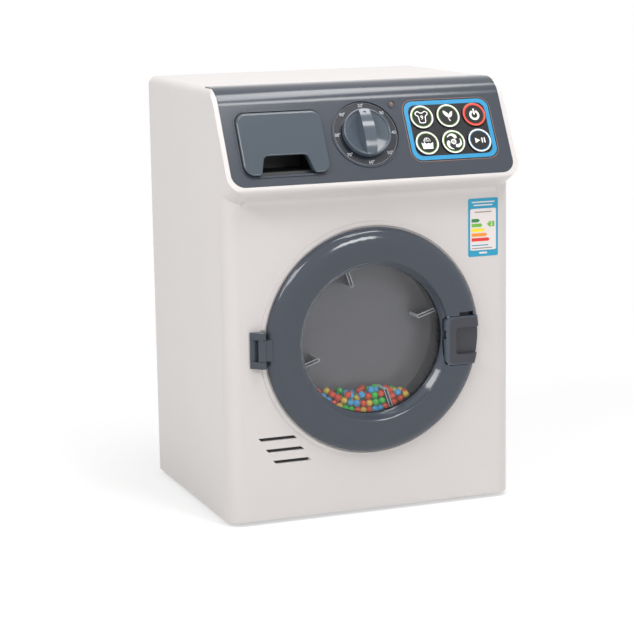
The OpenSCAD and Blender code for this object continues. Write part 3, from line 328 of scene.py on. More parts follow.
@dataclass(frozen=True)
class Moulded:
    """Injection-moulded plastic: even colour, faint flow marks and a fine mould texture.

    turned_about is the height, in millimetres, of an axis that has faint turned rings round it.
    """

    name: str
    colour: Colour
    roughness: float = 0.3
    gloss_change: float = 0.03
    mottling: float = 0.02
    texture: float = 0.25
    texture_scale: float = 2600.0
    waves: float = 0.3
    turned_about: float = 0.0
    ring_pitch: float = 700.0

    def make(self) -> bpy.types.Material:
        """Build the material.

        Returns:
            The finished material.
        """
        material, graph = new_material(self.name)
        flow = graph.noise(28, 4)
        smears = graph.noise(95, 5, 0.6)
        grain = graph.noise(self.texture_scale, 2)
        sinks = graph.noise(40, 1)
        if self.turned_about > 0:
            level = graph.along("Z") - self.turned_about * MM
            away = (graph.along("X") ** 2 + level**2) ** 0.5
            sinks = (away * self.ring_pitch).wave() * 0.5 + sinks * 0.5
        colour = graph.blend_colours(
            rgba(self.colour, 1 - self.mottling), rgba(self.colour, 1 + self.mottling), flow
        )
        shine = smears * self.gloss_change + (self.roughness - self.gloss_change / 2)
        relief = grain * self.texture + sinks * self.waves
        shader = graph.add(
            "ShaderNodeBsdfPrincipled",
            inputs={
                "Base Color": colour,
                "Roughness": shine,
                "IOR": 1.5,
                "Normal": graph.bump(relief, 0.1, 0.0001),
            },
        )
        graph.surface(shader)
        return material


@dataclass(frozen=True)
class Framed:
    """Moulded plastic whose face is matt inside a round-cornered frame and glossy outside it."""

    name: str
    face: Colour
    frame: Colour
    centre: tuple[float, float]
    half: tuple[float, float]
    corner: float
    roughness: tuple[float, float] = (0.3, 0.12)

    def make(self) -> bpy.types.Material:
        """Build the material.

        Returns:
            The finished material.
        """
        material, graph = new_material(self.name)
        reach = [
            (abs(graph.along(axis) - middle * MM) - (half - self.corner) * MM).at_least(0.0)
            for axis, middle, half in zip("XZ", self.centre, self.half)
        ]
        outside = ((reach[0] ** 2 + reach[1] ** 2) ** 0.5).above(self.corner * MM)
        cloud = graph.noise(60, 4)
        face = graph.blend_colours(rgba(self.face, 0.97), rgba(self.face, 1.03), cloud)
        frame = graph.blend_colours(rgba(self.frame, 0.97), rgba(self.frame, 1.03), cloud)
        grain = graph.noise(2600, 2) * 0.15
        shader = graph.add(
            "ShaderNodeBsdfPrincipled",
            inputs={
                "Base Color": graph.blend_colours(face, frame, outside),
                "Roughness": outside * (self.roughness[1] - self.roughness[0]) + self.roughness[0],
                "IOR": 1.5,
                "Normal": graph.bump(grain, 0.1, 0.0001),
            },
        )
        graph.surface(shader)
        return material


@dataclass(frozen=True)
class ClearSheet:
    """A thin clear sheet that is seen straight through and shines at a glance."""

    name: str
    tint: Colour
    roughness: float = 0.02
    share: float = 0.55

    def make(self) -> bpy.types.Material:
        """Build the material.

        Returns:
            The finished material.
        """
        material, graph = new_material(self.name)
        wiping = graph.ramp(graph.noise(45, 6, 0.65), [(0.45, 0.0), (0.8, 1.0)])
        through = graph.add("ShaderNodeBsdfTransparent", inputs={"Color": rgba(self.tint)})
        shine = graph.add(
            "ShaderNodeBsdfAnisotropic",
            inputs={"Color": (1, 1, 1, 1), "Roughness": wiping * 0.06 + self.roughness},
        )
        glance = graph.add("ShaderNodeFresnel", inputs={"IOR": 1.49}) * self.share
        graph.surface(graph.add("ShaderNodeMixShader", inputs={0: glance, 1: through, 2: shine}))
        return material


@dataclass(frozen=True)
class Metal:
    """Turned or pressed metal with fine working marks."""

    name: str
    colour: Colour
    roughness: float = 0.3

    def make(self) -> bpy.types.Material:
        """Build the material.

        Returns:
            The finished material.
        """
        material, graph = new_material(self.name)
        marks = graph.noise(900, 3)
        tarnish = graph.noise(120, 4)
        shader = graph.add(
            "ShaderNodeBsdfPrincipled",
            inputs={
                "Base Color": graph.blend_colours(
                    rgba(self.colour, 0.85), rgba(self.colour), tarnish
                ),
                "Metallic": 1.0,
                "Roughness": marks * 0.15 + self.roughness,
                "Normal": graph.bump(marks, 0.1, 0.0001),
            },
        )
        graph.surface(shader)
        return material


@dataclass(frozen=True)
class Ink:
    """Screen print or sticker colour, a little uneven, as a thin layer is."""

    name: str
    colour: Colour
    roughness: float = 0.35
    unevenness: float = 0.05

    def make(self) -> bpy.types.Material:
        """Build the material.

        Returns:
            The finished material.
        """
        material, graph = new_material(self.name)
        cloud = graph.noise(700, 4)
        shader = graph.add(
            "ShaderNodeBsdfPrincipled",
            inputs={
                "Base Color": graph.blend_colours(
                    rgba(self.colour, 1 - self.unevenness), rgba(self.colour), cloud
                ),
                "Roughness": cloud * 0.1 + self.roughness,
                "Normal": graph.bump(cloud, 0.05, 0.00005),
            },
        )
        graph.surface(shader)
        return material


@dataclass(frozen=True)
class Rubber:
    """Matt rubber with a dusty bloom."""

    name: str
    colour: Colour

    def make(self) -> bpy.types.Material:
        """Build the material.

        Returns:
            The finished material.
        """
        material, graph = new_material(self.name)
        bloom = graph.noise(180, 5, 0.6)
        shader = graph.add(
            "ShaderNodeBsdfPrincipled",
            inputs={
                "Base Color": graph.blend_colours(
                    rgba(self.colour), rgba(self.colour, 1.5), bloom
                ),
                "Roughness": bloom * 0.2 + 0.65,
                "Normal": graph.bump(graph.noise(3000, 2), 0.2, 0.0001),
            },
        )
        graph.surface(shader)
        return material


class Finish(Enum):
    """Every finish on the machine."""

    WHITE = Moulded(
        "white_shell", from_screen(204, 199, 197), 0.32, gloss_change=0.0, texture=0.3
    )
    CONSOLE = Moulded("console_grey", from_screen(57, 62, 72), 0.17)
    RING = Moulded("ring_grey", from_screen(60, 66, 76), 0.11, texture=0.1)
    DRAWER = Moulded("drawer_grey", from_screen(68, 77, 86), 0.1, texture=0.1)
    KNOB = Moulded("knob_grey", from_screen(78, 87, 97), 0.13, texture=0.1)
    DIAL = Moulded("dial_dark", from_screen(34, 38, 46), 0.2)
    HANDLE = Framed(
        "handle_dark",
        face=from_screen(56, 57, 64),
        frame=from_screen(66, 74, 86),
        centre=(73.5, 114.5),
        half=(20.2, 15.6),
        corner=3.4,
    )
    # The door's back ring, coloured dark partly as its own colour and partly as painted shade for
    # the groove round the door.
    BACK_RING_AND_GROOVE_SHADE = Moulded("back_ring_and_groove_shade", from_screen(40, 42, 48), 0.25)
    BLACK = Moulded("key_black", from_screen(15, 17, 19), 0.22, mottling=0.06)
    DRUM_BACK = Moulded(
        "drum_back_grey",
        from_screen(118, 116, 120),
        roughness=0.22,
        texture=0.0,
        waves=1.2,
        turned_about=119.0,
    )
    DRUM_WALL = Moulded("drum_wall_dark", from_screen(50, 51, 54), 0.35)
    INNER_WHITE = Moulded("inner_white", from_screen(214, 212, 206), 0.45)
    INNER_DARK = Moulded("inner_dark", from_screen(30, 30, 33), 0.5)
    BOARD = Moulded("board_green", from_screen(30, 88, 56), 0.35)
    JACKET = Moulded("cell_jacket", from_screen(52, 112, 70), 0.25)
    AMBER = Moulded("lamp_amber", from_screen(96, 78, 74), 0.1, mottling=0.2)
    # Light grey ink for the lamp's printed rim, also used for the highlight rings painted round
    # the dial.
    BEZEL_AND_EDGE_HIGHLIGHT = Ink("lamp_bezel_and_edge_highlight", from_screen(104, 108, 116), 0.2)
    CLEAR = ClearSheet("clear_window", from_screen(252, 252, 253), share=0.5)
    CLEAR_DRUM = ClearSheet("clear_drum", from_screen(252, 253, 253), 0.03, share=0.25)
    CLEAR_FIN = ClearSheet("clear_fin", from_screen(249, 251, 252), 0.02, share=0.6)
    STEEL = Metal("steel", from_screen(190, 190, 194))
    BRASS = Metal("brass", from_screen(206, 170, 96))
    FOOT = Rubber("foot_rubber", from_screen(42, 42, 44))
    MAT = Rubber("key_mat_rubber", from_screen(186, 186, 178))
    # Near-white ink painted along the fins' edges and tips as highlights.
    FIN_HIGHLIGHT = Ink("painted_fin_highlight", from_screen(228, 232, 236), 0.2)
    INK_WHITE = Ink("ink_white", from_screen(244, 243, 238))
    INK_GREY = Ink("ink_grey", from_screen(184, 188, 194))
    INK_GREEN = Ink("ink_green", from_screen(104, 148, 40))
    INK_BLUE = Ink("ink_blue", from_screen(26, 116, 168))
    INK_RED = Ink("ink_red", from_screen(208, 36, 32))
    INK_ORANGE = Ink("ink_orange", from_screen(240, 84, 58))
    STRIPE = Ink("stripe_blue", from_screen(34, 140, 188), 0.25)
    COPPER = Ink("copper_line", from_screen(150, 112, 98), 0.3)
    PAPER = Ink("label_paper", from_screen(226, 217, 214), 0.4)
    LABEL_BLUE = Ink("label_blue", from_screen(34, 150, 184), 0.4)
    LABEL_TEXT = Ink("label_grey", from_screen(150, 142, 142), 0.4)
    BAR_DEEP = Ink("bar_deep_green", from_screen(34, 130, 66), 0.4)
    BAR_GREEN = Ink("bar_green", from_screen(112, 180, 60), 0.4)
    BAR_YELLOW = Ink("bar_yellow", from_screen(244, 220, 50), 0.4)
    BAR_ORANGE = Ink("bar_orange", from_screen(240, 146, 44), 0.4)
    BAR_RED = Ink("bar_red", from_screen(222, 52, 44), 0.4)
    BEAD_ORANGE = Moulded("bead_orange", from_screen(255, 84, 30), 0.2, mottling=0.06)
    BEAD_GREEN = Moulded("bead_green", from_screen(62, 222, 74), 0.2, mottling=0.06)
    BEAD_BLUE = Moulded("bead_blue", from_screen(76, 190, 250), 0.2, mottling=0.06)
    BEAD_YELLOW = Moulded("bead_yellow", from_screen(255, 218, 68), 0.2, mottling=0.06)


class Paints:
    """Makes each finish's material once."""

    def __init__(self) -> None:
        """Start with no materials."""
        self._made: dict[Finish, bpy.types.Material] = {}

    def get(self, finish: Finish) -> bpy.types.Material:
        """Give the material of a finish, made on its first use.

        Args:
            finish: The finish.

        Returns:
            Its material.
        """
        if finish not in self._made:
            self._made[finish] = finish.value.make()
        return self._made[finish]


# --------------------------------------------------------------------------------------------
# Flat outlines, in millimetres
# --------------------------------------------------------------------------------------------


def circle(radius: float, centre: Point = (0, 0), count: int = 64) -> list[Point]:
    """Give the points of a circle.

    Args:
        radius: Its radius.
        centre: Its centre.
        count: How many points.

    Returns:
        The points, anticlockwise.
    """
    return arc(radius, 0, 360 - 360 / count, centre, count - 1)


def arc(
    radius: float, start: float, end: float, centre: Point = (0, 0), steps: int = 16
) -> list[Point]:
    """Give the points of an arc.

    Args:
        radius: Its radius.
        start: The angle it starts at, in degrees.
        end: The angle it ends at, in degrees.
        centre: Its centre.
        steps: How many steps it has.

    Returns:
        The points from start to end.
    """
    angles = [math.radians(start + (end - start) * i / steps) for i in range(steps + 1)]
    return [(centre[0] + radius * math.cos(a), centre[1] + radius * math.sin(a)) for a in angles]


def rounded_box(width: float, height: float, radius: float, centre: Point = (0, 0)) -> list[Point]:
    """Give the outline of a box with round corners.

    Args:
        width: Its width.
        height: Its height.
        radius: The radius of its corners.
        centre: Its centre.

    Returns:
        The points, anticlockwise.
    """
    points: list[Point] = []
    for turn, (sx, sy) in enumerate(((1, 1), (-1, 1), (-1, -1), (1, -1))):
        corner = (centre[0] + sx * (width / 2 - radius), centre[1] + sy * (height / 2 - radius))
        points += arc(radius, 90 * turn, 90 * turn + 90, corner, 8)
    return points


def smoothed(points: Sequence[Point], closed: bool, steps: int = 6) -> list[Point]:
    """Run a smooth curve through points.

    Args:
        points: The points to pass.
        closed: Whether the curve closes.
        steps: Steps between two points.

    Returns:
        The curve's points.
    """
    count = len(points)
    spans = count if closed else count - 1

    def pick(i: int) -> Vector:
        """Give a point by number, round the end or held at it."""
        return Vector(points[i % count] if closed else points[min(max(i, 0), count - 1)])

    curve: list[Point] = []
    for i in range(spans):
        a, b, c, d = pick(i - 1), pick(i), pick(i + 1), pick(i + 2)
        for k in range(steps):
            t = k / steps
            bend, twist = 2 * a - 5 * b + 4 * c - d, 3 * b - a - 3 * c + d
            spot = 0.5 * (2 * b + (c - a) * t + bend * t**2 + twist * t**3)
            curve.append((spot.x, spot.y))
    if not closed:
        curve.append(tuple(points[-1]))
    return curve


def widened(points: Sequence[Point], widths: Sequence[float]) -> list[Point]:
    """Turn an open line into an outline with a width at each point.

    Args:
        points: The line's points.
        widths: The full width at the start, and at equal steps to the end.

    Returns:
        The outline's points.
    """
    left: list[Point] = []
    right: list[Point] = []
    last = len(points) - 1
    for i, point in enumerate(points):
        ahead = Vector(points[min(i + 1, last)]) - Vector(points[max(i - 1, 0)])
        side = Vector((-ahead.y, ahead.x)).normalized()
        place = i / last * (len(widths) - 1)
        low = min(int(place), len(widths) - 2)
        half = (widths[low] + (widths[low + 1] - widths[low]) * (place - low)) / 2
        left.append((point[0] + side.x * half, point[1] + side.y * half))
        right.append((point[0] - side.x * half, point[1] - side.y * half))
    return right + left[::-1]


def grown(points: Sequence[Point], amount: float) -> list[Point]:
    """Move a closed anticlockwise line outwards.

    Args:
        points: The line's points.
        amount: How far it moves.

    Returns:
        The moved points.
    """
    count = len(points)
    moved: list[Point] = []
    for i, point in enumerate(points):
        ahead = Vector(points[(i + 1) % count]) - Vector(points[i - 1])
        side = Vector((ahead.y, -ahead.x)).normalized()
        moved.append((point[0] + side.x * amount, point[1] + side.y * amount))
    return moved


def turned(points: Iterable[Point], degrees: float, centre: Point = (0, 0)) -> list[Point]:
    """Turn points about the origin and then move them.

    Args:
        points: The points.
        degrees: The angle.
        centre: Where the origin goes.

    Returns:
        The turned points.
    """
    c, s = math.cos(math.radians(degrees)), math.sin(math.radians(degrees))
    return [(centre[0] + x * c - y * s, centre[1] + x * s + y * c) for x, y in points]


# --------------------------------------------------------------------------------------------
# The machine's frames and the builder of meshes
# --------------------------------------------------------------------------------------------


@dataclass(frozen=True)
class Plane:
    """A face of the machine that pieces are laid on, in millimetres."""

    origin: Vector
    along: Vector
    up: Vector
    out: Vector

    def at(self, x: float, y: float, height: float) -> Vector:
        """Give a place on or above the face.

        Args:
            x: Distance to the right.
            y: Distance up the face.
            height: Height above the face.

        Returns:
            The place in metres.
        """
        return (self.origin + self.along * x + self.up * y + self.out * height) * MM

    def matrix(self) -> Matrix:
        """Give the matrix from the face's millimetres to metres."""
        columns = Matrix((self.along, self.up, self.out)).transposed() * MM
        return Matrix.Translation(self.origin * MM) @ columns.to_4x4()


@dataclass(frozen=True)
class Cabinet:
    """Driving sizes of the machine, in millimetres."""

    depth: float = 160.0
    height: float = 289.0
    lean: float = 28.0
    reach: float = 13.0
    run: float = 57.0
    roll: float = 21.0
    lip: float = 4.0
    nose: float = 3.0
    door_z: float = 119.0053

    @property
    def front(self) -> float:
        """Give the place of the front face.

        Returns:
            Its distance behind the middle, below zero as it lies before it.
        """
        sine, cosine = math.sin(math.radians(self.lean)), math.cos(math.radians(self.lean))
        overhang = self.reach + (self.lip - self.nose) * sine + self.nose * (1 - cosine)
        return -self.depth / 2 + overhang / 2

    def console(self) -> Plane:
        """Give the leaning face of the console.

        Returns:
            The face, measured from the middle of its lower edge.
        """
        sine, cosine = math.sin(math.radians(self.lean)), math.cos(math.radians(self.lean))
        low = self.height - self.roll * (1 - sine) - self.run * cosine
        return Plane(
            Vector((0, self.front - self.reach, low)),
            Vector((1, 0, 0)),
            Vector((0, sine, cosine)),
            Vector((0, -cosine, sine)),
        )

    def door(self) -> Plane:
        """Give the front face.

        Returns:
            The face, measured from the door's centre.
        """
        return Plane(
            Vector((0, self.front, self.door_z)),
            Vector((1, 0, 0)),
            Vector((0, 0, 1)),
            Vector((0, -1, 0)),
        )


class Piece:
    """Builds one mesh piece on a plane of the machine."""

    def __init__(
        self, name: str, plane: Plane, paints: Paints, finishes: Sequence[Finish]
    ) -> None:
        """Start an empty piece.

        Args:
            name: The piece's name.
            plane: The face it is laid on.
            paints: The shared materials.
            finishes: Its finishes, in the order of its slots.
        """
        self.name = name
        self.plane = plane
        self.paints = paints
        self.finishes = list(finishes)
        self.mesh = bmesh.new()

    def _slot(self, finish: Finish) -> int:
        """Give the slot of a finish, added on its first use.

        Args:
            finish: The finish.

        Returns:
            The number of its slot.
        """
        if finish not in self.finishes:
            self.finishes.append(finish)
        return self.finishes.index(finish)

    def _loop(self, points: Sequence[Point], height: float) -> list[bmesh.types.BMVert]:
        """Add a ring of corners at a height."""
        return [self.mesh.verts.new(self.plane.at(x, y, height)) for x, y in points]

    def _walls(
        self,
        low: Sequence[bmesh.types.BMVert],
        high: Sequence[bmesh.types.BMVert],
        slot: int,
        outward: bool = True,
    ) -> None:
        """Join two rings with upright faces.

        Args:
            low: The first ring.
            high: The second ring, with as many corners.
            slot: The slot of the faces.
            outward: Whether the faces look away from the ring's middle.
        """
        count = len(low)
        for i in range(count):
            quad = [low[i], low[(i + 1) % count], high[(i + 1) % count], high[i]]
            self.mesh.faces.new(quad if outward else quad[::-1]).material_index = slot

    def slab(
        self, outline: Sequence[Point], low: float, high: float, finish: Finish, ease: float = 0
    ) -> "Piece":
        """Add a flat plate.

        Args:
            outline: Its outline, anticlockwise.
            low: Its underside's height.
            high: Its top's height.
            finish: Its finish.
            ease: How far its top edge is drawn in.

        Returns:
            The piece itself.
        """
        slot = self._slot(finish)
        rings = [self._loop(outline, low)]
        if ease > 0:
            rings.append(self._loop(outline, high - ease))
            rings.append(self._loop(grown(outline, -ease * 0.3), high - ease * 0.3))
            rings.append(self._loop(grown(outline, -ease), high))
        else:
            rings.append(self._loop(outline, high))
        for below, over in zip(rings, rings[1:]):
            self._walls(below, over, slot)
        self.mesh.faces.new(rings[-1]).material_index = slot
        self.mesh.faces.new(rings[0][::-1]).material_index = slot
        return self

    def band(
        self,
        outer: Sequence[Point],
        inner: Sequence[Point],
        low: float,
        high: float,
        finish: Finish,
    ) -> "Piece":
        """Add a flat ring between two outlines with as many points each.

        Args:
            outer: The outer outline.
            inner: The inner outline.
            low: Its underside's height.
            high: Its top's height.
            finish: Its finish.

        Returns:
            The piece itself.
        """
        slot = self._slot(finish)
        a, b = self._loop(outer, low), self._loop(outer, high)
        c, d = self._loop(inner, low), self._loop(inner, high)
        self._walls(a, b, slot)
        self._walls(c, d, slot, outward=False)
        self._walls(b, d, slot)
        self._walls(a, c, slot, outward=False)
        return self

    def line(
        self,
        points: Sequence[Point],
        widths: Sequence[float],
        low: float,
        high: float,
        finish: Finish,
    ) -> "Piece":
        """Add a flat line with a width that may change along it."""
        return self.slab(widened(points, widths), low, high, finish)

    def letters(
        self, text: str, size: float, centre: Point, low: float, high: float, finish: Finish
    ) -> "Piece":
        """Add numbers as thin solids.

        Args:
            text: The numbers.
            size: Their height.
            centre: Their middle.
            low: Their underside's height.
            high: Their top's height.
            finish: Their finish.

        Returns:
            The piece itself.
        """
        slot = self._slot(finish)
        curve = bpy.data.curves.new(self.name + "_text", "FONT")
        curve.body = text
        curve.size = size * FONT_SCALE
        curve.align_x = "CENTER"
        curve.align_y = "CENTER"
        curve.extrude = (high - low) / 2
        curve.offset = size * FONT_WEIGHT
        curve.resolution_u = 3
        holder = bpy.data.objects.new(curve.name, curve)
        bpy.context.scene.collection.objects.link(holder)
        bpy.context.view_layer.update()
        solved = holder.evaluated_get(bpy.context.evaluated_depsgraph_get())
        flat = bpy.data.meshes.new_from_object(solved)
        middle = Matrix.Translation((centre[0], centre[1], (low + high) / 2))
        flat.transform(self.plane.matrix() @ middle)
        known = len(self.mesh.faces)
        self.mesh.from_mesh(flat)
        self.mesh.faces.ensure_lookup_table()
        for face in self.mesh.faces[known:]:
            face.material_index = slot
        bpy.data.objects.remove(holder)
        bpy.data.curves.remove(curve)
        bpy.data.meshes.remove(flat)
        return self

    def ball(self, centre: tuple[float, float, float], radius: float, finish: Finish) -> "Piece":
        """Add a ball.

        Args:
            centre: Its centre on and above the plane.
            radius: Its radius.
            finish: Its finish.

        Returns:
            The piece itself.
        """
        slot = self._slot(finish)
        known = len(self.mesh.faces)
        place = Matrix.Translation(self.plane.at(*centre))
        bmesh.ops.create_icosphere(self.mesh, subdivisions=3, radius=radius * MM, matrix=place)
        self.mesh.faces.ensure_lookup_table()
        for face in self.mesh.faces[known:]:
            face.material_index = slot
        return self

    def done(self, body: str, smooth: float = 35) -> bpy.types.Object:
        """Turn the piece into an object that rides on a body.

        Args:
            body: The body's name.
            smooth: The angle in degrees up to which edges look smooth.

        Returns:
            The finished object.
        """
        data = bpy.data.meshes.new(self.name)
        bmesh.ops.recalc_face_normals(self.mesh, faces=self.mesh.faces)
        self.mesh.to_mesh(data)
        self.mesh.free()
        for finish in self.finishes:
            data.materials.append(self.paints.get(finish))
        data.shade_smooth()
        data.set_sharp_from_angle(angle=math.radians(smooth))
        piece = bpy.data.objects.new(self.name, data)
        bpy.context.scene.collection.objects.link(piece)
        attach(piece, body)
        LOG.info("built %s with %d faces", self.name, len(data.polygons))
        return piece


# --------------------------------------------------------------------------------------------
# Sub-assemblies
# --------------------------------------------------------------------------------------------


@dataclass(frozen=True)
class Rule:
    """A ruled line that stands for print; its place is measured from the card's middle."""

    width: float
    height: float
    corner: float
    place: Point
    layer: Layer
    finish: Finish


@dataclass
class RatingCard:
    """The printed rating card on the cabinet's front."""

    sizes: Cabinet
    paints: Paints
    centre: Point = (81.9, 70.5)
    size: Point = (22.2, 39.6)
    edge: float = 1.5
    corner: float = 1.2
    paper_cut: float = 11.3
    paper_drop: float = 1.4
    margin: float = 1.0
    bar_drop: float = 13.9
    bar_pitch: float = 3.27
    bar_height: float = 2.3
    bar_length: float = 4.9
    bar_growth: float = 1.85
    bar_point: float = 1.3
    grade_side: float = 2.9
    grade_drop: float = 17.8
    grade_half: float = 1.85
    grade_point: float = 1.7
    grade_length: float = 5.5
    grade_number: str = "2"
    number_size: float = 2.6
    number_side: float = 3.3
    ground_layer: Layer = (0.01, 0.12)
    paper_layer: Layer = (0.12, 0.16)
    ink_layer: Layer = (0.16, 0.2)
    number_layer: Layer = (0.2, 0.24)
    bars: Sequence[Finish] = (
        Finish.BAR_DEEP, Finish.BAR_GREEN, Finish.BAR_YELLOW, Finish.BAR_ORANGE, Finish.BAR_RED,
    )
    rules: Sequence[Rule] = (
        Rule(12.5, 0.7, 0.3, (-2.35, -12.2), ink_layer, Finish.LABEL_BLUE),
        Rule(15.5, 0.7, 0.3, (-0.85, -14.2), ink_layer, Finish.LABEL_TEXT),
        Rule(12.5, 0.8, 0.3, (0.0, 10.4), ink_layer, Finish.LABEL_TEXT),
        Rule(17.0, 0.8, 0.3, (0.0, 17.2), paper_layer, Finish.PAPER),
        Rule(14.0, 0.8, 0.3, (0.0, 15.1), paper_layer, Finish.PAPER),
        Rule(6.0, 1.2, 0.5, (0.0, -17.4), paper_layer, Finish.PAPER),
    )

    def build(self) -> None:
        """Build the card: its ground and paper, the bars, the grade and the ruled lines."""
        (cx, cy), (w, h) = self.centre, self.size
        card = Piece("front_label", self.sizes.door(), self.paints, [Finish.LABEL_BLUE])
        ground = rounded_box(w, h, self.corner, self.centre)
        card.slab(ground, *self.ground_layer, Finish.LABEL_BLUE)
        middle = (cx, cy - self.paper_drop)
        paper = rounded_box(w - 2 * self.edge, h - self.paper_cut, self.corner, middle)
        card.slab(paper, *self.paper_layer, Finish.PAPER)
        self._bars(card, cx - w / 2 + self.edge + self.margin, cy + h / 2 - self.bar_drop)
        self._grade(card, cx + self.grade_side, cy + h / 2 - self.grade_drop)
        for rule in self.rules:
            middle = (cx + rule.place[0], cy + rule.place[1])
            strip = rounded_box(rule.width, rule.height, rule.corner, middle)
            card.slab(strip, *rule.layer, rule.finish)
        card.done("cabinet")

    def _bars(self, card: Piece, left: float, top: float) -> None:
        """Draw the pointed bars, each longer than the one over it.

        Args:
            card: The card.
            left: Where the bars start.
            top: The first bar's upper edge.
        """
        for i, finish in enumerate(self.bars):
            high = top - self.bar_pitch * i
            low, end = high - self.bar_height, left + self.bar_length + self.bar_growth * i
            tip = (end + self.bar_point, high - self.bar_height / 2)
            bar = [(left, low), (end, low), tip, (end, high), (left, high)]
            card.slab(bar, *self.ink_layer, finish)

    def _grade(self, card: Piece, tip: float, level: float) -> None:
        """Draw the pointer that carries a number.

        Args:
            card: The card.
            tip: Where its point is.
            level: The height of its point.
        """
        neck, end = tip + self.grade_point, tip + self.grade_length
        low, high = level - self.grade_half, level + self.grade_half
        pointer = [(tip, level), (neck, low), (end, low), (end, high), (neck, high)]
        card.slab(pointer, *self.ink_layer, Finish.BAR_GREEN)
        spot = (tip + self.number_side, level)
        card.letters(
            self.grade_number, self.number_size, spot, *self.number_layer, Finish.PAPER
        )


@dataclass
class Dial:
    """The programme dial's prints: its numbers, the painted highlight rings round it and the
    lamp's rim.
    """

    sizes: Cabinet
    paints: Paints
    centre: Point = (-2.0, 33.0)
    number_radius: float = 20.1
    number_height: float = 2.3
    first_number: int = 20
    number_step: int = 10
    number_count: int = 8
    degree_mark: Point = (2.1, 1.15)
    degree_radii: Point = (0.45, 0.2)
    plate_top: float = -0.55
    film: float = 0.06
    # Light rings painted as highlights on the plate's raised bead and on the recess edge.
    plate_highlight_ring: Point = (22.2, 0.35)
    plate_highlight_rise: float = 0.3
    recess_highlight_ring: Point = (23.4, 0.22)
    lamp_side: float = 22.6
    lamp_up: float = 53.0
    lamp_rim: Point = (2.9, 2.4)
    rim_layer: Layer = (-0.02, 0.07)

    def build(self) -> None:
        """Build the numbers, the painted highlight rings and the lamp's rim."""
        prints = Piece("dial_numbers", self.sizes.console(), self.paints, [Finish.INK_WHITE])
        self._numbers(prints)
        # These two light rings are painted highlights on the plate's raised bead and the recess
        # edge; the lamp's rim is print.
        low = self.plate_top + self.plate_highlight_rise
        for (radius, width), level in ((self.plate_highlight_ring, low), (self.recess_highlight_ring, 0.0)):
            outer, inner = (circle(r, self.centre, 96) for r in (radius, radius - width))
            prints.band(outer, inner, level, level + self.film, Finish.BEZEL_AND_EDGE_HIGHLIGHT)
        lamp = (self.centre[0] + self.lamp_side, self.lamp_up)
        outer, inner = (circle(radius, lamp, 32) for radius in self.lamp_rim)
        prints.band(outer, inner, *self.rim_layer, Finish.BEZEL_AND_EDGE_HIGHLIGHT)
        prints.done("cabinet")

    def _numbers(self, prints: Piece) -> None:
        """Draw the numbers and their degree marks round the plate.

        Args:
            prints: The piece they are drawn on.
        """
        low, high = self.plate_top, self.plate_top + self.film
        for i in range(self.number_count):
            angle = math.radians(90 - 360 / self.number_count * i)
            spot = (
                self.centre[0] + self.number_radius * math.cos(angle),
                self.centre[1] + self.number_radius * math.sin(angle),
            )
            number = str(self.first_number + self.number_step * i)
            prints.letters(number, self.number_height, spot, low, high, Finish.INK_GREY)
            mark = (spot[0] + self.degree_mark[0], spot[1] + self.degree_mark[1])
            outer, inner = (circle(radius, mark, 12) for radius in self.degree_radii)
            prints.band(outer, inner, low, high, Finish.INK_GREY)


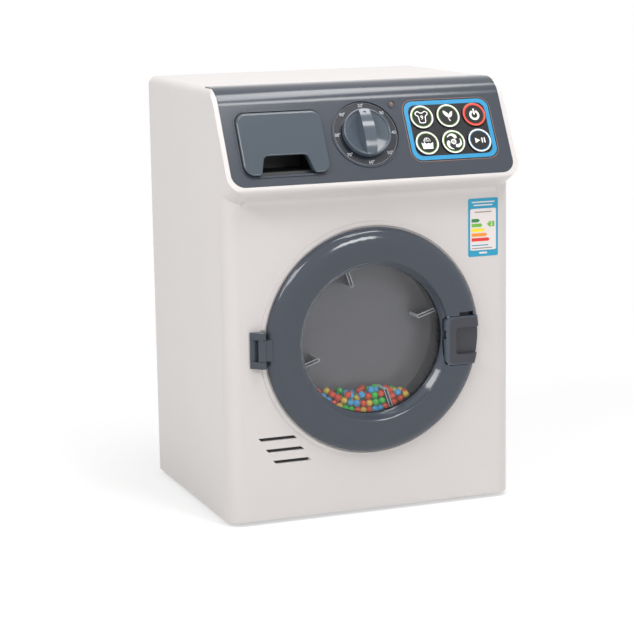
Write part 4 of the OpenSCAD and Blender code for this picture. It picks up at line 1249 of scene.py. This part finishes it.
@dataclass
class KeyBlock:
    """The six keys: printed rings, their marks and the blue stripe round them."""

    sizes: Cabinet
    paints: Paints
    centre: Point = (59.1, 33.0)
    pitch: Point = (19.2, 18.8)
    cap_top: float = 0.9
    fascia: Point = (62.8, 43.4)
    corner: float = 7.5
    stripe: float = 2.9
    stripe_inset: float = 0.5
    stripe_round: float = 1.2
    stripe_layer: Layer = (-0.02, 0.08)
    line_layer: Layer = (-0.02, 0.07)
    line_edges: tuple[Point, Point] = ((0.65, 0.7), (0.35, 0.4))
    ring_radii: tuple[float, float, float] = (8.15, 7.25, 6.7)

    @property
    def ink(self) -> Layer:
        """Give the heights between which the key prints lie."""
        return self.cap_top - 0.02, self.cap_top + 0.06

    def spot(self, column: int, row: int) -> Point:
        """Give the middle of a key.

        Args:
            column: Its column, from the left.
            row: Its row, from the top.

        Returns:
            Its place on the console.
        """
        return (
            self.centre[0] + (column - 1) * self.pitch[0],
            self.centre[1] + (0.5 - row) * self.pitch[1],
        )

    def build(self) -> None:
        """Build the stripe and the six prints."""
        self._trim()
        marks = {
            "key_wash": (0, 0, self._shirt, Finish.INK_WHITE, Finish.INK_GREEN),
            "key_leaf": (1, 0, self._leaves, Finish.INK_WHITE, Finish.INK_GREEN),
            "key_power": (2, 0, self._power, Finish.INK_ORANGE, Finish.INK_RED),
            "key_soak": (0, 1, self._tub, Finish.INK_WHITE, Finish.INK_GREEN),
            "key_spin": (1, 1, self._swirl, Finish.INK_WHITE, Finish.INK_GREEN),
            "key_start": (2, 1, self._start, Finish.INK_WHITE, Finish.INK_BLUE),
        }
        low, high = self.ink
        for body, (column, row, mark, outer, inner) in marks.items():
            spot = self.spot(column, row)
            rings = [circle(radius, spot) for radius in self.ring_radii]
            piece = Piece(body + "_print", self.sizes.console(), self.paints, [outer, inner])
            piece.band(rings[0], rings[1], low, high, outer)
            piece.band(rings[1], rings[2], low, high - 0.01, inner)
            mark(piece, spot)
            piece.done(body)

    def _trim(self) -> None:
        """Build the wide stripe and the thin line outside it."""
        w, h = self.fascia
        inset, corner = 2 * self.stripe_inset, self.corner - self.stripe_inset
        trim = Piece("fascia_stripe", self.sizes.console(), self.paints, [Finish.STRIPE])
        outer = rounded_box(w - inset, h - inset, corner, self.centre)
        inner = rounded_box(
            w - inset - 2 * self.stripe,
            h - inset - 2 * self.stripe,
            corner - self.stripe + self.stripe_round,
            self.centre,
        )
        trim.band(outer, inner, *self.stripe_layer, Finish.STRIPE)
        outer, inner = (
            rounded_box(w + 2 * out, h + 2 * out, self.corner + bend, self.centre)
            for out, bend in self.line_edges
        )
        trim.band(outer, inner, *self.line_layer, Finish.COPPER)
        trim.done("cabinet")

    def _shirt(self, piece: Piece, spot: Point) -> None:
        """Draw a little shirt with a number on it.

        Args:
            piece: The print it is part of.
            spot: The key's middle.
        """
        low, high = self.ink
        half = [(2.3, -2.0), (2.6, 0.4), (4.1, 1.6), (4.2, 3.0), (2.6, 3.9), (1.2, 3.1)]
        hem = [(-1.9, -3.9), (0, -4.3), (1.9, -3.9)]
        other = [(-x, y) for x, y in half[::-1]]
        outline = turned(smoothed(other + hem + half + [(0, 2.7)], closed=True), 0, spot)
        piece.band(grown(outline, -0.32), grown(outline, 0.32), low, high, Finish.INK_WHITE)
        piece.letters("9", 3.0, (spot[0], spot[1] - 0.6), low, high, Finish.INK_WHITE)

    def _leaves(self, piece: Piece, spot: Point) -> None:
        """Draw a pair of leaves on a short stem.

        Args:
            piece: The print they are part of.
            spot: The key's middle.
        """
        low, high = self.ink
        corners = [(0, -0.2), (1.7, 0.4), (2.5, 2.2), (2.4, 4.6), (0.9, 3.4), (0.1, 1.7)]
        blade = smoothed(corners, closed=True)
        wide = [(x * 1.15, y * 1.05) for x, y in blade]
        for leaf, angle, side in ((blade, -10, 0.1), (wide, 62, -0.3)):
            placed = turned(leaf, angle, (spot[0] + side, spot[1] - 1.0))
            piece.slab(placed, low, high, Finish.INK_WHITE)
        stem = turned(smoothed([(-0.1, -0.9), (0.1, -2.4), (0.9, -3.8)], closed=False), 0, spot)
        piece.line(stem, (0.45, 0.7), low, high, Finish.INK_WHITE)

    def _power(self, piece: Piece, spot: Point) -> None:
        """Draw the on and off mark.

        Args:
            piece: The print it is part of.
            spot: The key's middle.
        """
        low, high = self.ink
        ring = turned(arc(2.9, 112, 428, (0, -0.5), 40), 0, spot)
        piece.line(ring, (1.5, 1.5), low, high, Finish.INK_WHITE)
        stroke = rounded_box(1.1, 4.4, 0.5, (spot[0], spot[1] + 2.0))
        piece.slab(stroke, low, high, Finish.INK_WHITE)

    def _tub(self, piece: Piece, spot: Point) -> None:
        """Draw a wash tub with foam over it.

        Args:
            piece: The print it is part of.
            spot: The key's middle.
        """
        low, high = self.ink
        rim = [(-4.2, 0.5), (-3.1, -0.3), (-1.9, 0.1), (-0.6, -0.6)]
        rim += [(0.7, -0.1), (2.0, -0.6), (3.1, -0.2), (4.2, 0.5)]
        tub = [(-3.5, -4.2), (3.5, -4.2)] + rim[::-1]
        piece.slab(turned(tub, 0, spot), low, high, Finish.INK_WHITE)
        hump = turned(arc(2.2, -12, 215, (0.1, 1.4), 30), 0, spot)
        piece.line(hump, (0.4, 0.4), low, high, Finish.INK_WHITE)
        for x, y, r in ((-0.7, 1.9, 0.75), (0.9, 1.6, 0.6), (0.1, 3.0, 0.4)):
            outer, inner = (circle(v, (spot[0] + x, spot[1] + y), 20) for v in (r, r - 0.24))
            piece.band(outer, inner, low, high, Finish.INK_WHITE)

    def _swirl(self, piece: Piece, spot: Point) -> None:
        """Draw three blades round a hub.

        Args:
            piece: The print they are part of.
            spot: The key's middle.
        """
        low, high = self.ink
        path = [(1.6, 2.6), (0.6, 4.1), (-1.4, 4.9), (-3.4, 4.0), (-4.6, 2.6)]
        blade = smoothed(path, closed=False)
        for k in range(3):
            placed = turned(blade, 120 * k - 8, spot)
            piece.line(placed, (1.9, 2.4, 1.6, 0.9, 0.3), low, high, Finish.INK_WHITE)
        piece.band(circle(1.9, spot, 32), circle(1.2, spot, 32), low, high, Finish.INK_WHITE)
        for k in range(4):
            petal = turned([(0.62, 0.0)], 45 + 90 * k, spot)[0]
            piece.slab(circle(0.36, petal, 14), low, high, Finish.INK_WHITE)

    def _start(self, piece: Piece, spot: Point) -> None:
        """Draw the start and pause mark.

        Args:
            piece: The print it is part of.
            spot: The key's middle.
        """
        low, high = self.ink
        arrow = [(-3.3, -1.9), (0.3, 0.0), (-3.3, 1.9)]
        piece.slab(turned(arrow, 0, spot), low, high, Finish.INK_WHITE)
        for x in (1.7, 3.5):
            stroke = rounded_box(0.85, 3.6, 0.2, (spot[0] + x, spot[1]))
            piece.slab(stroke, low, high, Finish.INK_WHITE)


@dataclass
class BeadDrum:
    """The drum's clear fins and its loose beads, heaped as they come to rest."""

    sizes: Cabinet
    paints: Paints
    wall_radius: float = 52.4
    bead_radius: float = 2.4
    chamber: float = 16.5
    front: float = 5.5
    fin_angle: float = 288.0
    fin_count: int = 4
    fin_half: float = 1.1
    fin_inner: float = 38.5
    fin_foot: float = 2.1
    fin_gap: float = 2.2
    fin_ease: float = 0.6
    fin_swell: float = 0.05
    # Where the near-white bands painted as fin highlights lie.
    fin_highlight_edges: Point = (0.08, -0.4)
    fin_highlight_layer: Layer = (-0.8, -0.1)
    fin_highlight_foot: float = 0.3
    clearance: float = 0.1
    count: int = 128
    start_low: tuple[float, float, float] = (-46, -50, 8)
    start_high: tuple[float, float, float] = (23, -22, 19)
    first_fall: float = 0.35
    lean: float = -0.04
    give: float = 0.7
    rounds: int = 420
    seed: int = 11
    colours: Sequence[Finish] = field(
        default_factory=lambda: (
            Finish.BEAD_ORANGE, Finish.BEAD_ORANGE, Finish.BEAD_GREEN, Finish.BEAD_GREEN,
            Finish.BEAD_BLUE, Finish.BEAD_BLUE, Finish.BEAD_YELLOW,
        )
    )

    def _hold(self, spot: Vector) -> None:
        """Push a bead back between the glass, the drum's back, its wall and its lowest fin.

        Args:
            spot: The bead's centre, which is moved.
        """
        r = self.bead_radius
        shallow = self.front + r + self.clearance
        deep = self.front + self.chamber - r - self.clearance
        spot.z = min(max(spot.z, shallow), deep)
        flat = Vector((spot.x, spot.y))
        limit = self.wall_radius - r - self.clearance / 2
        if flat.length > limit:
            flat = flat.normalized() * limit
            spot.x, spot.y = flat.x, flat.y
        angle = math.radians(self.fin_angle)
        along = Vector((math.cos(angle), math.sin(angle)))
        side = Vector((-along.y, along.x))
        off = flat.dot(side)
        if flat.dot(along) > self.fin_inner - r and abs(off) < self.fin_half + r:
            shift = side * (math.copysign(self.fin_half + r, off) - off)
            spot.x, spot.y = spot.x + shift.x, spot.y + shift.y

    def _part(self, spots: Sequence[Vector]) -> None:
        """Move beads that overlap a little apart.

        Args:
            spots: The beads' centres, which are moved.
        """
        gap = 2 * self.bead_radius
        tree = kdtree.KDTree(len(spots))
        for i, spot in enumerate(spots):
            tree.insert(spot, i)
        tree.balance()
        moves = [Vector() for _ in spots]
        for i, spot in enumerate(spots):
            for other, j, distance in tree.find_range(spot, gap):
                if j > i and distance > 1e-6:
                    push = (spot - other) * ((gap - distance) / distance * 0.5)
                    moves[i] += push
                    moves[j] -= push
        for spot, move in zip(spots, moves):
            spot += move * self.give

    def centres(self) -> list[Vector]:
        """Let the beads fall and settle.

        Returns:
            Their centres: across, up and into the drum.
        """
        chance = random.Random(self.seed)
        spans = list(zip(self.start_low, self.start_high))
        spots = [
            Vector([chance.uniform(low, high) for low, high in spans]) for _ in range(self.count)
        ]
        for turn in range(self.rounds):
            fall = self.first_fall * (1 - turn / self.rounds) ** 2
            for spot in spots:
                spot.x -= fall * self.lean
                spot.y -= fall
            self._part(spots)
            for spot in spots:
                self._hold(spot)
        return spots

    def _fins(self) -> None:
        """Build the round-edged clear fins over the drum's plain ones, with near-white bands
        painted along their edges and tips as highlights.
        """
        fins = Piece("drum_fins", self.sizes.door(), self.paints, [Finish.CLEAR_FIN])
        half = self.fin_half + self.fin_swell
        inner, outer = (self.fin_inner, 0), (self.wall_radius - self.fin_foot, 0)
        outline = arc(half, 90, 270, inner, 10) + arc(half, -90, 90, outer, 10)
        tip = arc(half + 0.1, 90, 270, inner, 10) + arc(half - 0.25, 270, 90, inner, 10)
        near = -self.front - self.clearance
        far = -self.front - self.chamber + self.fin_gap
        for k in range(self.fin_count):
            turn = self.fin_angle + 360 / self.fin_count * k
            edge = turned(outline, turn)
            fins.slab(edge, far, near, Finish.CLEAR_FIN, ease=self.fin_ease)
            # The near-white band and tip on each fin are painted highlights.
            low, high = (near + level for level in self.fin_highlight_layer)
            outer, inner = (grown(edge, amount) for amount in self.fin_highlight_edges)
            fins.band(outer, inner, low, high, Finish.FIN_HIGHLIGHT)
            fins.slab(turned(tip, turn), far + self.fin_highlight_foot, low, Finish.FIN_HIGHLIGHT)
        fins.done("drum", smooth=50)

    def build(self) -> None:
        """Build the fins, and the beads in their mixed colours."""
        self._fins()
        chance = random.Random(self.seed)
        beads = Piece("drum_beads", self.sizes.door(), self.paints, [])
        for spot in self.centres():
            place = (spot.x, spot.y, -spot.z)
            beads.ball(place, self.bead_radius, chance.choice(self.colours))
        piece = beads.done("drum", smooth=180)
        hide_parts("beads")


NODE_FINISHES: dict[Finish, tuple[str, ...]] = {
    Finish.WHITE: ("cabinet_shell", "rear_cover", "battery_cover"),
    Finish.CONSOLE: ("console_panel",),
    Finish.RING: ("door_ring", "hinge_bracket"),
    Finish.DRAWER: ("drawer_front",),
    Finish.KNOB: ("knob",),
    Finish.DIAL: ("dial_plate",),
    Finish.HANDLE: ("door_handle",),
    # Dark back ring: partly painted shade for the groove round the door.
    Finish.BACK_RING_AND_GROOVE_SHADE: ("door_back_ring",),
    Finish.BLACK: (
        "key_fascia", "key_wash", "key_leaf", "key_power", "key_soak", "key_spin", "key_start",
    ),
    Finish.DRUM_BACK: ("drum_back",),
    Finish.DRUM_WALL: ("drum_wall",),
    Finish.INNER_WHITE: ("drawer_tray", "click_wheel", "drum_gear", "idler_gear"),
    Finish.INNER_DARK: (
        "drawer_housing", "latch_strike", "drive_plate", "gearbox_cover", "motor_clamp", "speaker",
    ),
    Finish.BOARD: ("control_board",),
    Finish.JACKET: ("batteries",),
    Finish.AMBER: ("led", "led_lens"),
    Finish.CLEAR: ("door_window",),
    Finish.CLEAR_DRUM: ("drum_front",),
    Finish.STEEL: (
        "case_screws", "click_spring", "knob_screw", "board_screws", "door_screws", "handle_pin",
        "handle_spring", "hinge_pin", "drum_shaft", "drive_screws", "idler_pin", "gearbox_screws",
        "motor", "battery_contacts", "battery_screw",
    ),
    Finish.BRASS: ("motor_pinion",),
    Finish.FOOT: ("rubber_feet",),
    Finish.MAT: ("key_mat",),
}


@dataclass(frozen=True)
class EdgeRounding:
    """Rounds the sharp edges of a moulding, as its mould does."""

    radius: float
    segments: int = 3
    sharp: float = 40.0
    flat: float = 0.8
    merge: float = 0.002
    flat_share: int = 90

    def apply(self, part: bpy.types.Object) -> None:
        """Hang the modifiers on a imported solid.

        Args:
            part: The solid.
        """
        join = part.modifiers.new("join", "WELD")
        join.merge_threshold = self.merge * MM
        plain = part.modifiers.new("plain", "DECIMATE")
        plain.decimate_type = "DISSOLVE"
        plain.angle_limit = math.radians(self.flat)
        edges = part.modifiers.new("edges", "BEVEL")
        edges.width = self.radius * MM
        edges.segments = self.segments
        edges.limit_method = "ANGLE"
        edges.angle_limit = math.radians(self.sharp)
        edges.use_clamp_overlap = True
        edges.harden_normals = False
        shading = part.modifiers.new("shading", "WEIGHTED_NORMAL")
        shading.keep_sharp = False
        shading.weight = self.flat_share


ROUNDINGS: dict[str, EdgeRounding] = {
    "console_panel": EdgeRounding(0.5),
    "drawer_front": EdgeRounding(1.3, segments=4),
    "door_handle": EdgeRounding(0.6),
    "knob": EdgeRounding(0.35),
    "dial_plate": EdgeRounding(0.15),
    "door_ring": EdgeRounding(0.4),
}


@dataclass
class PackedParts:
    """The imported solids, which keep their shapes and get their finishes."""

    nodes: dict[str, bpy.types.Object]
    paints: Paints

    def build(self) -> None:
        """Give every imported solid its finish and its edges."""
        for name, rounding in ROUNDINGS.items():
            rounding.apply(self.nodes[name])
        for finish, names in NODE_FINISHES.items():
            material = self.paints.get(finish)
            for name in names:
                part = self.nodes[name]
                if not part.material_slots:
                    part.data.materials.append(material)
                for slot in part.material_slots:
                    slot.material = material
                LOG.info("dressed %s with %s", name, material.name)


# --------------------------------------------------------------------------------------------
# Studio
# --------------------------------------------------------------------------------------------


@dataclass(frozen=True)
class SoftBox:
    """A rectangular lamp."""

    name: str
    place: tuple[float, float, float]
    target: tuple[float, float, float]
    width: float
    height: float
    power: float

    def build(self) -> None:
        """Hang the lamp."""
        data = bpy.data.lights.new(self.name, "AREA")
        data.shape = "RECTANGLE"
        data.size, data.size_y, data.energy = self.width, self.height, self.power
        lamp = bpy.data.objects.new(self.name, data)
        lamp.location = self.place
        aim = Vector(self.target) - Vector(self.place)
        lamp.rotation_euler = aim.to_track_quat("-Z", "Y").to_euler()
        bpy.context.scene.collection.objects.link(lamp)


@dataclass(frozen=True)
class Studio:
    """The floor, the pale surroundings, the lamps and the camera."""

    sizes: Cabinet
    camera_place: tuple[float, float, float] = (-514.8, -1248.2, 386.4)
    azimuth: float = -20.85
    elevation: float = 10.46
    roll: float = -0.9
    lens: float = 116.9
    shift: Point = (0.00055, -0.00536)
    sensor: float = 36.0
    ambient: float = 0.46
    floor_radius: float = 2.4
    floor_drop: float = 0.0002
    floor_stops: tuple[Point, Point] = ((0.08, 0.5), (0.4, 1.0))
    lamps: tuple[SoftBox, ...] = (
        SoftBox("key_lamp", (-0.95, -0.75, 1.15), (0, 0, 0.17), 0.6, 0.45, 6.8),
        SoftBox("front_lamp", (0.35, -1.35, 0.72), (0, 0, 0.15), 0.4, 0.22, 3.8),
        SoftBox("roll_lamp", (0.4, -0.8, 1.46), (0, 0, 0.25), 0.6, 0.2, 4.2),
        SoftBox("top_lamp", (0.25, -0.2, 1.42), (0, 0, 0.2), 1.0, 0.34, 8.4),
        SoftBox("side_lamp", (-1.15, -0.34, 1.02), (0, 0, 0.12), 0.22, 0.6, 4),
    )

    def build(self) -> None:
        """Set up the whole studio."""
        self._world()
        self._floor()
        for lamp in self.lamps:
            lamp.build()
        self._camera()
        bpy.context.scene.view_settings.view_transform = "Standard"

    @staticmethod
    def _seen(graph: Graph) -> Signal:
        """Tell what the eye sees from what only lights the object.

        Args:
            graph: The tree that asks.

        Returns:
            1 for what is seen directly, mirrored or through clear pieces, and 0 elsewhere.
        """
        rays = [
            graph.add("ShaderNodeLightPath", output=name)
            for name in ("Is Camera Ray", "Is Glossy Ray", "Is Transmission Ray")
        ]
        return (rays[0] + rays[1] + rays[2]).above(0.5)

    def _world(self) -> None:
        """Make the surroundings white to the eye and softer as light."""
        world = bpy.data.worlds.new("studio")
        world.use_nodes = True
        bpy.context.scene.world = world
        graph = Graph(world.node_tree)
        strength = self._seen(graph) * (1 - self.ambient) + self.ambient
        white = {"Color": (1, 1, 1, 1), "Strength": strength}
        shine = graph.add("ShaderNodeBackground", inputs=white)
        graph.add("ShaderNodeOutputWorld", inputs={"Surface": shine})

    def _floor(self) -> None:
        """Lay a pale floor that fades into the white surroundings."""
        data = bpy.data.meshes.new("floor")
        mesh = bmesh.new()
        bmesh.ops.create_circle(mesh, cap_ends=True, segments=96, radius=self.floor_radius)
        mesh.to_mesh(data)
        mesh.free()
        floor = bpy.data.objects.new("floor", data)
        floor.location = (0, 0, -self.floor_drop)
        bpy.context.scene.collection.objects.link(floor)
        material, graph = new_material("pale_floor")
        away = graph.add(
            "ShaderNodeVectorMath", {"operation": "LENGTH"}, {0: graph.place()}, output="Value"
        )
        fade = graph.ramp(away * 0.5, self.floor_stops)
        base = graph.blend_colours((0.9, 0.9, 0.9, 1), (0.93, 0.93, 0.93, 1), graph.noise(6))
        matt = graph.add("ShaderNodeBsdfDiffuse", inputs={"Color": base, "Roughness": 0.6})
        white = graph.add("ShaderNodeEmission", inputs={"Color": (1, 1, 1, 1), "Strength": 1.0})
        factor = fade * self._seen(graph)
        graph.surface(graph.add("ShaderNodeMixShader", inputs={0: factor, 1: matt, 2: white}))
        data.materials.append(material)

    def _camera(self) -> None:
        """Place the camera; its place is measured from the cabinet's front face."""
        a, e, roll = (math.radians(v) for v in (self.azimuth, self.elevation, self.roll))
        back = Vector((math.sin(a) * math.cos(e), -math.cos(a) * math.cos(e), math.sin(e)))
        right = Vector((math.cos(a), math.sin(a), 0))
        up = back.cross(right)
        right, up = (
            right * math.cos(roll) + up * math.sin(roll),
            up * math.cos(roll) - right * math.sin(roll),
        )
        data = bpy.data.cameras.new("camera")
        data.lens = self.lens
        data.sensor_width = self.sensor
        data.shift_x, data.shift_y = self.shift
        camera = bpy.data.objects.new("camera", data)
        x, y, z = self.camera_place
        place = Vector((x, y + self.sizes.front, z)) * MM
        turn = Matrix((right, up, back)).transposed().to_4x4()
        camera.matrix_world = Matrix.Translation(place) @ turn
        bpy.context.scene.collection.objects.link(camera)
        bpy.context.scene.camera = camera


def main() -> None:
    """Build the dressed machine and its studio."""
    logging.basicConfig(level=logging.INFO, format="%(name)s: %(message)s")
    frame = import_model()
    sizes, paints = Cabinet(), Paints()
    PackedParts(frame["nodes"], paints).build()
    for assembly in (
        RatingCard(sizes, paints),
        Dial(sizes, paints),
        KeyBlock(sizes, paints),
        BeadDrum(sizes, paints),
        Studio(sizes),
    ):
        assembly.build()
        LOG.info("finished %s", type(assembly).__name__)
    bpy.context.view_layer.update()


if __name__ == "__main__":
    main()
